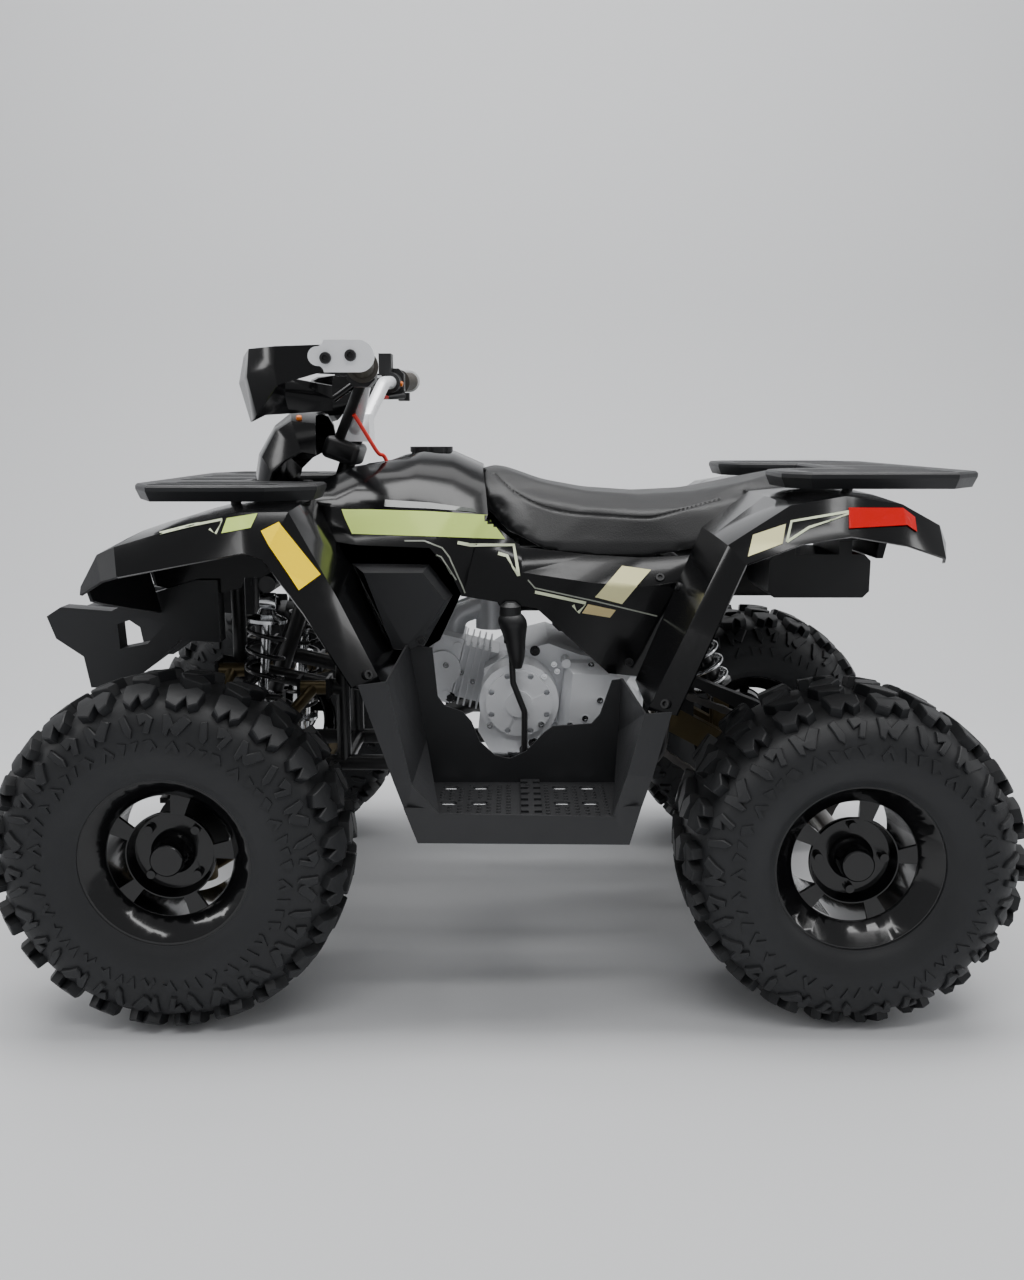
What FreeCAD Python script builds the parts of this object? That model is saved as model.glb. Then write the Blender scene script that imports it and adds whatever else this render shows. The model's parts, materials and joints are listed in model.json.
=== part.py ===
import FreeCAD, Part
import os
from functools import cache
from math import acos, cos, pi, radians, sin, tan

# A small utility quad bike, shown parked on its four tyres.
# The nose points to -X, the rider's left is -Y and Z is up. Lengths are millimetres.
# The ground is at Z = 0 and the origin lies under the middle of the machine.

Vec = FreeCAD.Vector

# Driving sizes of the whole machine
wheelbase = 910.0
overall_width = 914.0
front_tyre_radius = 240.0
front_tyre_width = 178.0
rear_tyre_radius = 230.0
rear_tyre_width = 235.0
balance_shift = 5.0  # sets the middle of the overall length over the origin
steering_rake = 19.2  # degrees that the steering column leans back
running_gap = 0.1  # round a shaft or pin that turns
moving_gap = 5.0  # between pieces that pass each other
cut_overrun = 4.0  # how far a cutting tool runs past the face it cuts
panel_wall = 4.0  # moulded body panels

front_axle_x = balance_shift - wheelbase / 2
rear_axle_x = balance_shift + wheelbase / 2
front_wheel_y = (overall_width - front_tyre_width) / 2
rear_wheel_y = (overall_width - rear_tyre_width) / 2
along_x = Vec(1, 0, 0)
along_y = Vec(0, 1, 0)
along_z = Vec(0, 0, 1)


# Shapes that several pieces share

def placed(shares, start, size):
    # Points given as shares of a size, measured from a start corner.
    return [Vec(start.x + a * size.x, start.y + b * size.y, start.z + c * size.z)
            for a, b, c in shares]


def flat(shares, start, size, level):
    # Points of an outline in the XZ plane at one level of Y.
    return [Vec(start.x + a * size.x, level, start.z + c * size.z) for a, c in shares]


def prism(points, push):
    return Part.Face(Part.makePolygon(points + [points[0]])).extrude(push)


def box(low, high):
    size = high - low
    return Part.makeBox(size.x, size.y, size.z, low)


def rod(start, end, radius):
    return Part.makeCylinder(radius, (end - start).Length, start, end - start)


def joined(shapes):
    whole = shapes[0].multiFuse(shapes[1:]) if len(shapes) > 1 else shapes[0]
    return whole.removeSplitter()


def mirrored(shape):
    # The same piece on the other side of the machine.
    return shape.mirror(Vec(), along_y)


def flipped(point):
    return Vec(point.x, -point.y, point.z)


def pair(shape):
    return Part.makeCompound([shape, mirrored(shape)])


def turned(shape, axis, centre, degrees):
    copy = shape.copy()
    copy.rotate(centre, axis, degrees)
    return copy


def route(points, bend):
    # Straight runs joined by tangent arcs.
    edges = []
    last = points[0]
    for before, corner, after in zip(points, points[1:], points[2:]):
        inward = (corner - before).normalize()
        outward = (after - corner).normalize()
        half_turn = inward.getAngle(outward) / 2
        setback = bend * tan(half_turn)
        first = corner - inward * setback
        second = corner + outward * setback
        middle = corner + (outward - inward).normalize() * bend * (1 / cos(half_turn) - 1)
        edges.append(Part.LineSegment(last, first).toShape())
        edges.append(Part.Arc(first, middle, second).toShape())
        last = second
    edges.append(Part.LineSegment(last, points[-1]).toShape())
    return Part.Wire(edges)


def tube(points, radius, bend):
    path = route(points, bend)
    ring = Part.Wire(Part.makeCircle(radius, points[0], points[1] - points[0]))
    return path.makePipeShell([ring], True, False)


def faceted(faces):
    shell = Part.makeShell(faces)
    shell.sewShape()
    solid = Part.makeSolid(shell)
    if solid.Volume < 0:
        solid.reverse()
    return solid.removeSplitter()


def corners(points):
    return Part.Face(Part.makePolygon(points + [points[0]]))


def patch(a, b, c, d):
    # Two triangles over four points, split along the shorter diagonal.
    if (c - a).Length <= (d - b).Length:
        triangles = [(a, b, c), (a, c, d)]
    else:
        triangles = [(a, b, d), (b, c, d)]
    return [corners(list(t)) for t in triangles
            if (t[1] - t[0]).cross(t[2] - t[0]).Length > 0]


def sheet(rows, wall):
    # A moulded sheet through rows of points, its wall laid behind each point's normal.
    count, width = len(rows), len(rows[0])
    normals = [[Vec() for _ in row] for row in rows]
    for i in range(count - 1):
        for j in range(width - 1):
            a, b, c, d = rows[i][j], rows[i][j + 1], rows[i + 1][j + 1], rows[i + 1][j]
            facing = (c - a).cross(d - b)
            if facing.Length > 0:
                facing.normalize()
            for p, q in ((i, j), (i, j + 1), (i + 1, j), (i + 1, j + 1)):
                normals[p][q] = normals[p][q] + facing
    back = [[point - normal.normalize() * wall for point, normal in zip(row, across)]
            for row, across in zip(rows, normals)]
    faces = []
    for i in range(count - 1):
        for j in range(width - 1):
            faces += patch(rows[i][j], rows[i][j + 1], rows[i + 1][j + 1], rows[i + 1][j])
            faces += patch(back[i][j], back[i + 1][j], back[i + 1][j + 1], back[i][j + 1])
    for j in range(width - 1):
        faces += patch(rows[0][j], back[0][j], back[0][j + 1], rows[0][j + 1])
        faces += patch(rows[-1][j], rows[-1][j + 1], back[-1][j + 1], back[-1][j])
    for i in range(count - 1):
        faces += patch(rows[i][0], rows[i + 1][0], back[i + 1][0], back[i][0])
        faces += patch(rows[i][-1], back[i][-1], back[i + 1][-1], rows[i + 1][-1])
    return faceted(faces)


def hulled(rows):
    # A closed solid through rings of points, each ring a closed section.
    faces = []
    for first, second in zip(rows, rows[1:]):
        for k in range(len(first)):
            m = (k + 1) % len(first)
            faces += patch(first[k], first[m], second[m], second[k])
    for ring in (rows[0], rows[-1]):
        middle = Vec()
        for point in ring:
            middle = middle + point * (1.0 / len(ring))
        for k in range(len(ring)):
            faces.append(corners([ring[k], ring[(k + 1) % len(ring)], middle]))
    return faceted(faces)


def spun(profile, centre, axis=along_y):
    # A closed profile of (radius, along) points turned about an axis.
    radial = along_x if abs(axis.x) < 0.5 else along_z
    radial = (radial - axis * radial.dot(axis)).normalize()
    points = [centre + radial * r + axis * a for r, a in profile]
    return corners(points).revolve(centre, axis, 360)


def trimmed(piece, *others):
    # The piece with its neighbours cut out of it, so that they meet face to face.
    for other in others:
        if piece.BoundBox.intersect(other.BoundBox):
            piece = piece.cut(other)
    solids = sorted(piece.Solids, key=lambda s: -s.Volume)
    crumb_share = 0.02
    kept = [s for s in solids if s.Volume > crumb_share * solids[0].Volume]
    return Part.makeCompound(kept) if len(kept) > 1 else kept[0]


# Steering geometry: the column's foot, its axis, and the direction square to it

column_foot_ahead = 30.0  # from the front axle back to the column's foot
column_foot_height = 285.0
lean = radians(steering_rake)
column_axis = Vec(sin(lean), 0, cos(lean))
column_square = Vec(cos(lean), 0, -sin(lean))
column_foot = Vec(front_axle_x + column_foot_ahead, 0, column_foot_height)
column_radius = 12.7
clamp_height = 545.0  # up the column to the handlebar
bar_centre = column_foot + column_axis * clamp_height
kingpin_inset = 113.0  # from the middle of the tyre
kingpin_y = front_wheel_y - kingpin_inset
steer_arm = 45.0  # column and knuckle arms have the same length
kingpin = Vec(front_axle_x, -kingpin_y, 0)


def on_column(height):
    return column_foot + column_axis * height


# Racks: moulded plates with a deep rim, long slots and corner cuts

rack_depth = 22.0
rack_skin = 8.0
rack_rim = 12.0
rack_draft = 6.0  # the rim leans in towards the underside
slot_width = 22.0
front_rack_top = 722.0
front_rack_length = 264.0
front_rack_start = 82.0  # ahead of the front axle
front_rack_half = 292.0
rear_rack_top = 741.0
rear_rack_length = 274.0
rear_rack_start = 92.0  # ahead of the rear axle
rear_rack_half = 332.0


# Frame of bent and welded tube

frame_tube = 12.5
frame_post = 11.0  # posts are of thinner tube than the rails
frame_bend = 40.0
post_behind = 25.0  # behind the front axle, as are the next three
second_post_behind = 185.0
tower_behind = 92.0
upper_front_behind = 20.0
upper_rear_behind = 145.0
seat_post_ahead = 200.0  # ahead of the rear axle, as are the next three
tail_rise_ahead = 150.0
tail_top_ahead = 65.0
swing_length = 212.0
tail_behind = 74.0  # behind the rear axle
post_x = front_axle_x + post_behind
post_y = 80.0
rail_y = 92.0
rail_z = 272.0
rail_nose = 30.0  # rails run this far ahead of the front posts
second_post_x = front_axle_x + second_post_behind
nose_z = 605.0
head_z = 652.0
seat_rail_z = 590.0
tail_rail_z = 642.0
seat_post_x = rear_axle_x - seat_post_ahead
tail_x = rear_axle_x + tail_behind
tail_rise_x = rear_axle_x - tail_rise_ahead
tail_top_x = rear_axle_x - tail_top_ahead
upper_front_z = 430.0
upper_rear_z = 402.0
upper_pivot_front = Vec(front_axle_x + upper_front_behind, 0, upper_front_z)
upper_pivot_rear = Vec(front_axle_x + upper_rear_behind, 0, upper_rear_z)
lower_pivot_z = 262.0
pivot_y = 112.0
pivot_length = 40.0
pivot_radius = 11.0
tab_wall = 5.0
tab_reach = 16.0
tower_x = front_axle_x + tower_behind
tower_z = 572.0
tower_half = 178.0
bearing_block_y = 20.0
bearing_block_half = 16.0
lower_bearing = 72.0
upper_bearing = 385.0
swing_pivot_x = rear_axle_x - swing_length
swing_pivot_z = 345.0
swing_pivot_radius = 13.0
stay_radius = 8.0
stay_inset = 28.0  # the rack posts' places are steps of this length from the axles


def rail_slope(x):
    # Height of the middle rail, which carries both upper pivots.
    run = upper_pivot_rear.x - upper_pivot_front.x
    rise = upper_pivot_rear.z - upper_pivot_front.z
    return upper_pivot_front.z + rise * (x - upper_pivot_front.x) / run


def pivot_tabs(pivot):
    # Two ears that hold one arm's pivot barrel between them.
    ears = []
    for side in (-1, 1):
        inner = pivot.x + side * pivot_length / 2
        outer = inner + side * tab_wall
        low = Vec(min(inner, outer), post_y, pivot.z - tab_reach)
        high = Vec(max(inner, outer), pivot_y + pivot_radius, pivot.z + tab_reach)
        ears.append(box(low, high))
    return ears


def bearing(height):
    # A block round the column, carried by a tube across the frame.
    at = on_column(height)
    low = Vec(at.x - bearing_block_y * 2, -bearing_block_y, at.z - bearing_block_half)
    high = Vec(at.x + bearing_block_y, bearing_block_y, at.z + bearing_block_half)
    return box(low, high)


def rack_stays():
    # Posts from the upper rails to the racks' decks, and the bent rod that shows under the front rack.
    posts = []
    for x, foot, deck in ((front_axle_x + stay_inset, nose_z, front_rack_top - rack_skin),
                          (front_axle_x + stay_inset * 4, nose_z + stay_inset, front_rack_top - rack_skin),
                          (rear_axle_x + stay_inset / 2, tail_rail_z - frame_tube, rear_rack_top - rack_skin),
                          (rear_axle_x + stay_inset * 2, tail_rail_z, rear_rack_top - rack_skin)):
        y = post_y if x < 0 else rail_y
        posts.append(rod(Vec(x, -y, foot), Vec(x, -y, deck), stay_radius))
    return posts


@cache
def frame():
    nose_x = post_x - rail_nose
    side = [
        tube([Vec(nose_x, post_y, rail_z), Vec(second_post_x, post_y, rail_z),
              Vec(swing_pivot_x - frame_tube, rail_y, rail_z),
              Vec(seat_post_x, rail_y, seat_rail_z)], frame_tube, frame_bend),
        tube([Vec(nose_x, post_y, nose_z), Vec(second_post_x, post_y, head_z),
              Vec(second_post_x + wheelbase / 4, rail_y, seat_rail_z),
              Vec(tail_rise_x, rail_y, seat_rail_z), Vec(tail_top_x, rail_y, tail_rail_z),
              Vec(tail_x, rail_y, tail_rail_z)], frame_tube, frame_bend),
        rod(Vec(post_x, post_y, rail_z), Vec(post_x, post_y, nose_z), frame_post),
        rod(Vec(second_post_x, post_y, rail_z), Vec(second_post_x, post_y, head_z), frame_post),
        rod(Vec(nose_x, post_y, rail_slope(nose_x)),
            Vec(second_post_x, post_y, rail_slope(second_post_x)), frame_tube),
        rod(Vec(tower_x, post_y, tower_z), Vec(tower_x, post_y, nose_z + frame_tube), frame_post),
    ]
    for x in (upper_pivot_front.x, upper_pivot_rear.x):
        side += pivot_tabs(Vec(x, 0, rail_slope(x)))
        side += pivot_tabs(Vec(x, 0, lower_pivot_z))
    across = []
    for x, z, half in ((post_x, nose_z, post_y), (post_x + rail_nose * 5 / 2, rail_z, post_y),
                       (second_post_x, rail_z, post_y), (swing_pivot_x - frame_tube * 3, rail_z, rail_y),
                       (post_x, on_column(lower_bearing).z, post_y),
                       (second_post_x, head_z, post_y), (seat_post_x, seat_rail_z, rail_y),
                       (tail_x, tail_rail_z, rail_y), (tower_x, tower_z, tower_half)):
        across.append(rod(Vec(x, -half, z), Vec(x, half, z), frame_tube))
    side += rack_stays()
    whole = joined(side + [mirrored(s) for s in side] + across
                   + [bearing(lower_bearing), bearing(upper_bearing)])
    bore = rod(on_column(-clamp_height / 2), on_column(clamp_height), column_radius + running_gap)
    return whole.cut(bore)


# Front fenders, with their tips and the nose between them

fender_ahead = 110.0  # of the front axle
fender_length = 410.0
fender_top = 705.0
fender_drop = 255.0
fender_half_width = 415.0
fender_inner_y = 140.0
fender_tip_shares = [
    [(0.029, 1, 0.635), (0.01, 0.564, 0.612), (0.005, 0.142, 0.569), (0.012, 0.098, 0.533)],
    [(0.073, 1, 0.792), (0.068, 0.564, 0.776), (0.071, 0.109, 0.737), (0.098, 0.025, 0.612)],
    [(0.127, 1, 0.831), (0.127, 0.564, 0.82), (0.127, 0.105, 0.776), (0.151, 0.015, 0.635)],
]
fender_shares = [
    [(0.127, 1, 0.831), (0.127, 0.564, 0.82), (0.127, 0.105, 0.776), (0.151, 0.015, 0.635)],
    [(0.293, 1, 0.91), (0.293, 0.564, 0.902), (0.293, 0.098, 0.855), (0.317, 0.007, 0.686)],
    [(0.524, 1, 0.965), (0.524, 0.564, 0.969), (0.524, 0.098, 0.949), (0.546, 0, 0.757)],
    [(0.671, 0.891, 0.969), (0.671, 0.527, 0.969), (0.678, 0.098, 0.953), (0.605, 0, 0.729)],
    [(0.824, 0.855, 0.529), (0.824, 0.491, 0.525), (0.824, 0.113, 0.51), (0.727, 0.007, 0.455)],
    [(0.966, 0.818, 0.024), (0.968, 0.491, 0.02), (0.973, 0.124, 0.012), (0.871, 0.015, 0.071)],
]
nose_side_shares = [(0.029, 1.509, 0.635), (0.073, 1.509, 0.792), (0.127, 1.509, 0.831),
    (0.293, 1.509, 0.91), (0.524, 1.509, 0.965), (0.439, 1.509, 0.745), (0.378, 1.509, 0.439),
    (0.22, 1.509, 0.384), (0.059, 1.509, 0.455)]
fascia_shares = [
    [(0.022, 0.15, 0.596), (0.045, 0.13, 0.5)],
    [(0.018, 0.22, 0.604), (0.052, 0.24, 0.468)],
    [(0.022, 0.564, 0.642), (0.07, 0.564, 0.39)],
    [(0.038, 0.955, 0.661), (0.09, 0.955, 0.3)],
]
liner_shares = [(0.44, 0.955), (0.6, 0.955), (0.66, 0.8), (0.62, 0.58), (0.5, 0.5), (0.378, 0.5), (0.39, 0.7)]
lamp_half_gap = 42.0
lamp_width = 78.0
lamp_proud = 5.0
lamp_depth = 24.0
lamp_shares = [(0, 0, 0.174), (1, 0, 0), (1, 0, 0.87), (0.769, 0, 1), (0.179, 0, 1)]


def fender_box():
    start = Vec(front_axle_x - fender_ahead, -fender_half_width, fender_top - fender_drop)
    size = Vec(fender_length, fender_half_width - fender_inner_y, fender_drop)
    return start, size


def nose_points(level):
    start, size = fender_box()
    return [Vec(p.x, level, p.z) for p in placed(nose_side_shares, start, size)]


def headlight(y, grow):
    # A lens in the sloping front face of the nose, or the pocket that takes it.
    points = nose_points(0)
    top, low = points[0], points[-1]
    up = (top - low).normalize()
    out = up.cross(along_y).normalize()
    out = out if out.x < 0 else out * -1
    middle = (top + low) * (1 / 2)
    height = (top - low).Length
    corners_list = []
    for across, _, rise in lamp_shares:
        corners_list.append(middle + along_y * (y + across * lamp_width)
                            + up * (rise - 1 / 2) * height + out * lamp_proud)
    return prism(corners_list, out * -(lamp_depth + grow))


@cache
def headlights():
    left = headlight(-lamp_half_gap - lamp_width, 0)
    return pair(left)


@cache
def front_nose():
    outer = prism(nose_points(-fender_inner_y), along_y * fender_inner_y * 2)
    inner = prism(nose_points(-fender_inner_y + panel_wall), along_y * (fender_inner_y - panel_wall) * 2)
    inner.translate(Vec(panel_wall * 3, 0, -panel_wall * 2))
    shell = outer.cut(inner)
    return shell.cut(headlights())


@cache
def front_body():
    start, size = fender_box()
    left = sheet([placed(row, start, size) for row in fender_shares], panel_wall)
    liner = prism(flat(liner_shares, start, size, -fender_inner_y), along_y * panel_wall)
    left = joined([left, liner])
    return trimmed(joined([left, mirrored(left), front_nose()]), fender_tips(), frame())


@cache
def fender_tips():
    start, size = fender_box()
    tip = sheet([placed(row, start, size) for row in fender_tip_shares], panel_wall)
    fascia = sheet([placed(row, start, size) for row in fascia_shares], panel_wall)
    return pair(trimmed(joined([tip, fascia]), front_nose()))


# Cowl over the steering head

cowl_front = 40.0  # behind the front axle
cowl_length = 120.0
cowl_half_width = 125.0
cowl_drop = 5.0  # its base lies this far under the fenders' top
cowl_base = fender_top - cowl_drop
cowl_height = 125.0
cowl_wall = 3.5
cowl_shares = [
    [(0.033, 0, -0.112), (0.067, -0.48, -0.112), (0.167, -0.76, -0.096), (0.333, -1, -0.08)],
    [(0.15, 0, 0.464), (0.183, -0.48, 0.48), (0.283, -0.76, 0.448), (0.45, -0.976, 0.272)],
    [(0.367, 0, 0.816), (0.4, -0.48, 0.824), (0.467, -0.76, 0.752), (0.617, -0.96, 0.416)],
    [(0.6, 0, 0.976), (0.617, -0.48, 0.984), (0.667, -0.744, 0.88), (0.817, -0.944, 0.512)],
    [(0.917, 0, 1), (0.933, -0.48, 0.976), (0.967, -0.736, 0.848), (1, -0.944, 0.48)],
]


@cache
def cowl():
    start = Vec(front_axle_x + cowl_front, 0, cowl_base)
    size = Vec(cowl_length, cowl_half_width, cowl_height)
    half = sheet([placed(row, start, size) for row in cowl_shares], cowl_wall)
    return trimmed(joined([half, mirrored(half)]), front_body())


# Tank cover, its cap, and the panels under the seat

cover_front = 120.0  # behind the front axle
cover_length = 300.0
cover_half_width = 200.0
cover_base = 545.0
cover_height = 225.0
cover_shares = [
    [(0.513, 0, 0.92), (0.487, -0.24, 0.911), (0.313, -0.41, 0.876), (0.153, -0.59, 0.787),
     (0.04, -0.825, 0.644), (0.1, -0.96, 0.444)],
    [(0.567, 0, 0.956), (0.553, -0.25, 0.947), (0.447, -0.43, 0.893), (0.36, -0.61, 0.796),
     (0.293, -0.85, 0.618), (0.36, -0.975, 0.387)],
    [(0.657, 0, 0.987), (0.657, -0.27, 0.969), (0.64, -0.44, 0.911), (0.627, -0.63, 0.796),
     (0.6, -0.86, 0.604), (0.713, -0.99, 0.369)],
    [(0.807, 0, 0.973), (0.807, -0.26, 0.947), (0.813, -0.42, 0.893), (0.817, -0.61, 0.769),
     (0.82, -0.84, 0.587), (0.807, -0.98, 0.227)],
    [(0.96, 0, 0.884), (0.96, -0.25, 0.858), (0.967, -0.4, 0.813), (0.98, -0.575, 0.716),
     (0.993, -0.8, 0.573), (0.867, -0.94, 0.049)],
]
cap_behind = 355.0  # the front axle
cap_radius = 34.0
cap_height = 12.0
cap_grips = 8


@cache
def tank_cover():
    start = Vec(front_axle_x + cover_front, 0, cover_base)
    size = Vec(cover_length, cover_half_width, cover_height)
    half = sheet([placed(row, start, size) for row in cover_shares], panel_wall)
    return trimmed(joined([half, mirrored(half)]), front_body())


def cap_base():
    # Height of the tank cover's crown where the cap sits.
    return cover_base + cover_height - panel_wall


def fuel_cap():
    seat = Vec(front_axle_x + cap_behind, 0, cap_base() - panel_wall)
    cap = rod(seat, seat + along_z * cap_height, cap_radius)
    grip = cap_radius / cap_grips
    for k in range(cap_grips):
        angle = 2 * pi * k / cap_grips
        at = seat + Vec(cos(angle), sin(angle), 0) * (cap_radius + grip / 3)
        cap = cap.cut(rod(at, at + along_z * (cap_height + cut_overrun), grip))
    return trimmed(cap, tank_cover())


panel_front = 375.0  # behind the front axle
panel_length = 345.0
panel_half_width = 190.0
panel_base = 430.0
panel_height = 245.0
panel_shares = [
    [(0.107, 0.906, 0.984), (0.067, 0.438, 0.784), (0.014, 0.125, 0.514)],
    [(0.267, 1, 0.8), (0.27, 0.375, 0.653), (0.333, 0.188, 0.437)],
    [(0.565, 1, 0.751), (0.577, 0.188, 0.592), (0.646, 0.375, 0.033)],
    [(0.786, 0.938, 0.735), (0.791, 0.125, 0.571), (0.794, 0.375, 0.012)],
    [(0.994, 0.812, 0.751), (0.977, 0.125, 0.604), (0.864, 0.25, 0.371)],
]


@cache
def side_panels():
    start = Vec(front_axle_x + panel_front, -panel_half_width, panel_base)
    size = Vec(panel_length, panel_half_width - seat_bottom_half, panel_height)
    side = sheet([placed(row, start, size) for row in panel_shares], panel_wall)
    return pair(trimmed(side, tank_cover(), seat(), rear_body()))


# Seat, a padded shell from the tank to the tail

seat_length = 505.0
seat_front = 400.0  # behind the front axle
seat_over_rail = 10.0
seat_base = seat_rail_z + seat_over_rail
seat_height = 150.0
seat_bottom_half = 158.0
seat_shares = [
    [(0, 0, 0.96), (0.004, -0.316, 0.92), (0.008, -0.519, 0.813), (0.02, -0.696, 0.667),
     (0.02, -0.38, 0.6)],
    [(0.079, 0, 0.907), (0.083, -0.392, 0.887), (0.087, -0.633, 0.773), (0.099, -0.949, 0.333),
     (0.099, -0.38, 0.267)],
    [(0.198, 0, 0.76), (0.198, -0.475, 0.747), (0.198, -0.772, 0.64), (0.198, -0.994, 0.133),
     (0.198, -0.38, 0.167)],
    [(0.337, 0, 0.66), (0.337, -0.57, 0.66), (0.337, -0.873, 0.56), (0.337, -1, 0.08),
     (0.337, -0.38, 0.107)],
    [(0.495, 0, 0.62), (0.495, -0.62, 0.627), (0.495, -0.899, 0.533), (0.495, -1, 0.06),
     (0.495, -0.38, 0.093)],
    [(0.653, 0, 0.653), (0.653, -0.601, 0.653), (0.653, -0.861, 0.56), (0.653, -0.987, 0.147),
     (0.653, -0.38, 0.173)],
    [(0.792, 0, 0.74), (0.792, -0.519, 0.733), (0.792, -0.772, 0.653), (0.792, -0.918, 0.4),
     (0.792, -0.38, 0.367)],
    [(0.911, 0, 0.84), (0.911, -0.443, 0.827), (0.911, -0.665, 0.76), (0.911, -0.81, 0.573),
     (0.911, -0.38, 0.533)],
    [(0.99, 0, 0.92), (0.99, -0.38, 0.907), (0.99, -0.582, 0.853), (0.99, -0.696, 0.693),
     (0.99, -0.38, 0.653)],
]


@cache
def seat():
    start = Vec(front_axle_x + seat_front, 0, seat_base)
    size = Vec(seat_length, seat_bottom_half, seat_height)
    rings = []
    for row in seat_shares:
        half = placed(row, start, size)
        rings.append(half + [flipped(p) for p in reversed(half[1:])])
    return trimmed(hulled(rings), tank_cover())



# Rear fenders and tail

tail_front = 285.0  # the fender legs start this far ahead of the rear axle
tail_length = 400.0
tail_half_width = 412.0
tail_inner_y = 135.0
tail_base = 425.0
tail_height = 295.0
rear_fender_shares = [
    [(0.022, 0.711, 0.037), (0.022, 0.44, 0.031), (0.02, 0.123, 0.02), (0.105, 0.029, 0.017)],
    [(0.147, 0.801, 0.407), (0.147, 0.477, 0.4), (0.145, 0.116, 0.39), (0.212, 0.022, 0.359)],
    [(0.268, 0.874, 0.783), (0.268, 0.513, 0.776), (0.265, 0.105, 0.763), (0.312, 0.007, 0.688)],
    [(0.45, 0.982, 0.956), (0.45, 0.585, 0.953), (0.458, 0.094, 0.936), (0.492, 0, 0.78)],
    [(0.637, 1, 0.983), (0.637, 0.585, 0.983), (0.637, 0.101, 0.976), (0.642, 0.004, 0.81)],
    [(0.825, 1, 0.966), (0.825, 0.585, 0.959), (0.825, 0.13, 0.939), (0.828, 0.025, 0.769)],
    [(0.968, 1, 0.898), (0.968, 0.585, 0.885), (0.963, 0.188, 0.844), (0.965, 0.087, 0.708)],
    [(0.998, 1, 0.803), (0.998, 0.585, 0.797), (0.995, 0.217, 0.763), (0.978, 0.144, 0.681)],
]
tail_middle_shares = [(0.45, 0.5, 0.956), (0.637, 0.5, 0.983), (0.825, 0.5, 0.966), (0.968, 0.5, 0.898),
    (0.998, 0.5, 0.803), (0.968, 0.5, 0.614), (0.943, 0.5, 0.614), (0.958, 0.5, 0.783),
    (0.912, 0.5, 0.851), (0.787, 0.5, 0.919), (0.637, 0.5, 0.932), (0.463, 0.5, 0.905)]
tail_lamp_width = 150.0
tail_lamp_height = 34.0
tail_lamp_proud = 6.0
tail_lamp_rise = 14.0  # over the tail panel's lower edge


def tail_span():
    start = Vec(rear_axle_x - tail_front, -tail_half_width, tail_base)
    size = Vec(tail_length, tail_half_width - tail_inner_y, tail_height)
    return start, size


@cache
def rear_body():
    start, size = tail_span()
    fender = sheet([placed(row, start, size) for row in rear_fender_shares], panel_wall)
    outline = flat([(a, c) for a, _, c in tail_middle_shares], start, size, -tail_inner_y)
    middle = prism(outline, along_y * tail_inner_y * 2)
    whole = joined([fender, mirrored(fender), middle])
    return trimmed(whole, seat(), taillight(), frame())


@cache
def taillight():
    start, size = tail_span()
    share = tail_middle_shares[5][0]
    back = start.x + size.x * share + tail_lamp_proud * 2
    low = start.z + size.z * tail_middle_shares[5][2] + tail_lamp_rise
    half = tail_lamp_width / 2
    lens = box(Vec(back - tail_lamp_proud * 3, -half, low),
               Vec(back + tail_lamp_proud, half, low + tail_lamp_height))
    edges = [e for e in lens.Edges if abs(e.tangentAt(e.FirstParameter).x) > 1 / 2]
    return lens.makeFillet(tail_lamp_height / 4, edges)


# Reflectors: an amber strip on each front fender leg, a red one on each side of the tail

reflector_wall = 2.5
amber_shares = [(0.598, 0.018, 0.863), (0.651, 0.047, 0.906), (0.773, 0.047, 0.639), (0.712, 0.018, 0.569)]
red_shares = [(0.64, 0.036, 0.929), (0.823, 0.051, 0.925), (0.865, 0.058, 0.885), (0.865, 0.036, 0.824),
    (0.83, 0.029, 0.854), (0.635, 0.007, 0.844)]


def reflectors_front():
    start, size = fender_box()
    outline = placed(amber_shares, start, size)
    return pair(lying(outline, front_fender_side()))


def reflectors_rear():
    start, size = tail_span()
    outline = placed(red_shares, start, size)
    return pair(lying(outline, rear_fender_side()))


@cache
def front_fender_side():
    start, size = fender_box()
    return sheet([placed(row, start, size) for row in fender_shares], panel_wall)


@cache
def rear_fender_side():
    start, size = tail_span()
    return sheet([placed(row, start, size) for row in rear_fender_shares], panel_wall)


def lying(outline, panel):
    # A thin strip that follows the outside of a panel: the panel's own shape moved outwards.
    outward = along_y * -reflector_wall
    window = prism([Vec(p.x, panel.BoundBox.YMin - reflector_wall, p.z) for p in outline],
                   along_y * fender_inner_y)
    shifted = panel.copy()
    shifted.translate(outward)
    return trimmed(shifted.common(window), panel)


# The racks' outlines, and their slots: start and end along the plate, then the place across it

front_rack_shares = [(0, 0, 0), (0, 0.736, 0), (0.144, 1, 0), (0.758, 1, 0), (1, 0.856, 0), (1, 0.565, 0),
    (0.568, 0.479, 0), (0.485, 0, 0)]
rear_rack_shares = [(0.431, 0, 0), (0.431, 0.331, 0), (0.109, 0.452, 0), (0, 0.572, 0), (0, 0.873, 0),
    (0.109, 1, 0), (0.821, 1, 0), (1, 0.813, 0), (1, 0, 0)]
front_slot_shares = [(0.152, 0.682, 0.736), (0.152, 0.758, 0.873), (0.152, 0.455, 0.308),
    (0.152, 0.455, 0.137), (0.227, 0.871, 0.616)]
rear_slot_shares = [(0.164, 0.821, 0.858), (0.164, 0.821, 0.723), (0.164, 0.821, 0.587),
    (0.547, 0.858, 0.437), (0.547, 0.858, 0.286), (0.547, 0.858, 0.12)]


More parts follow.
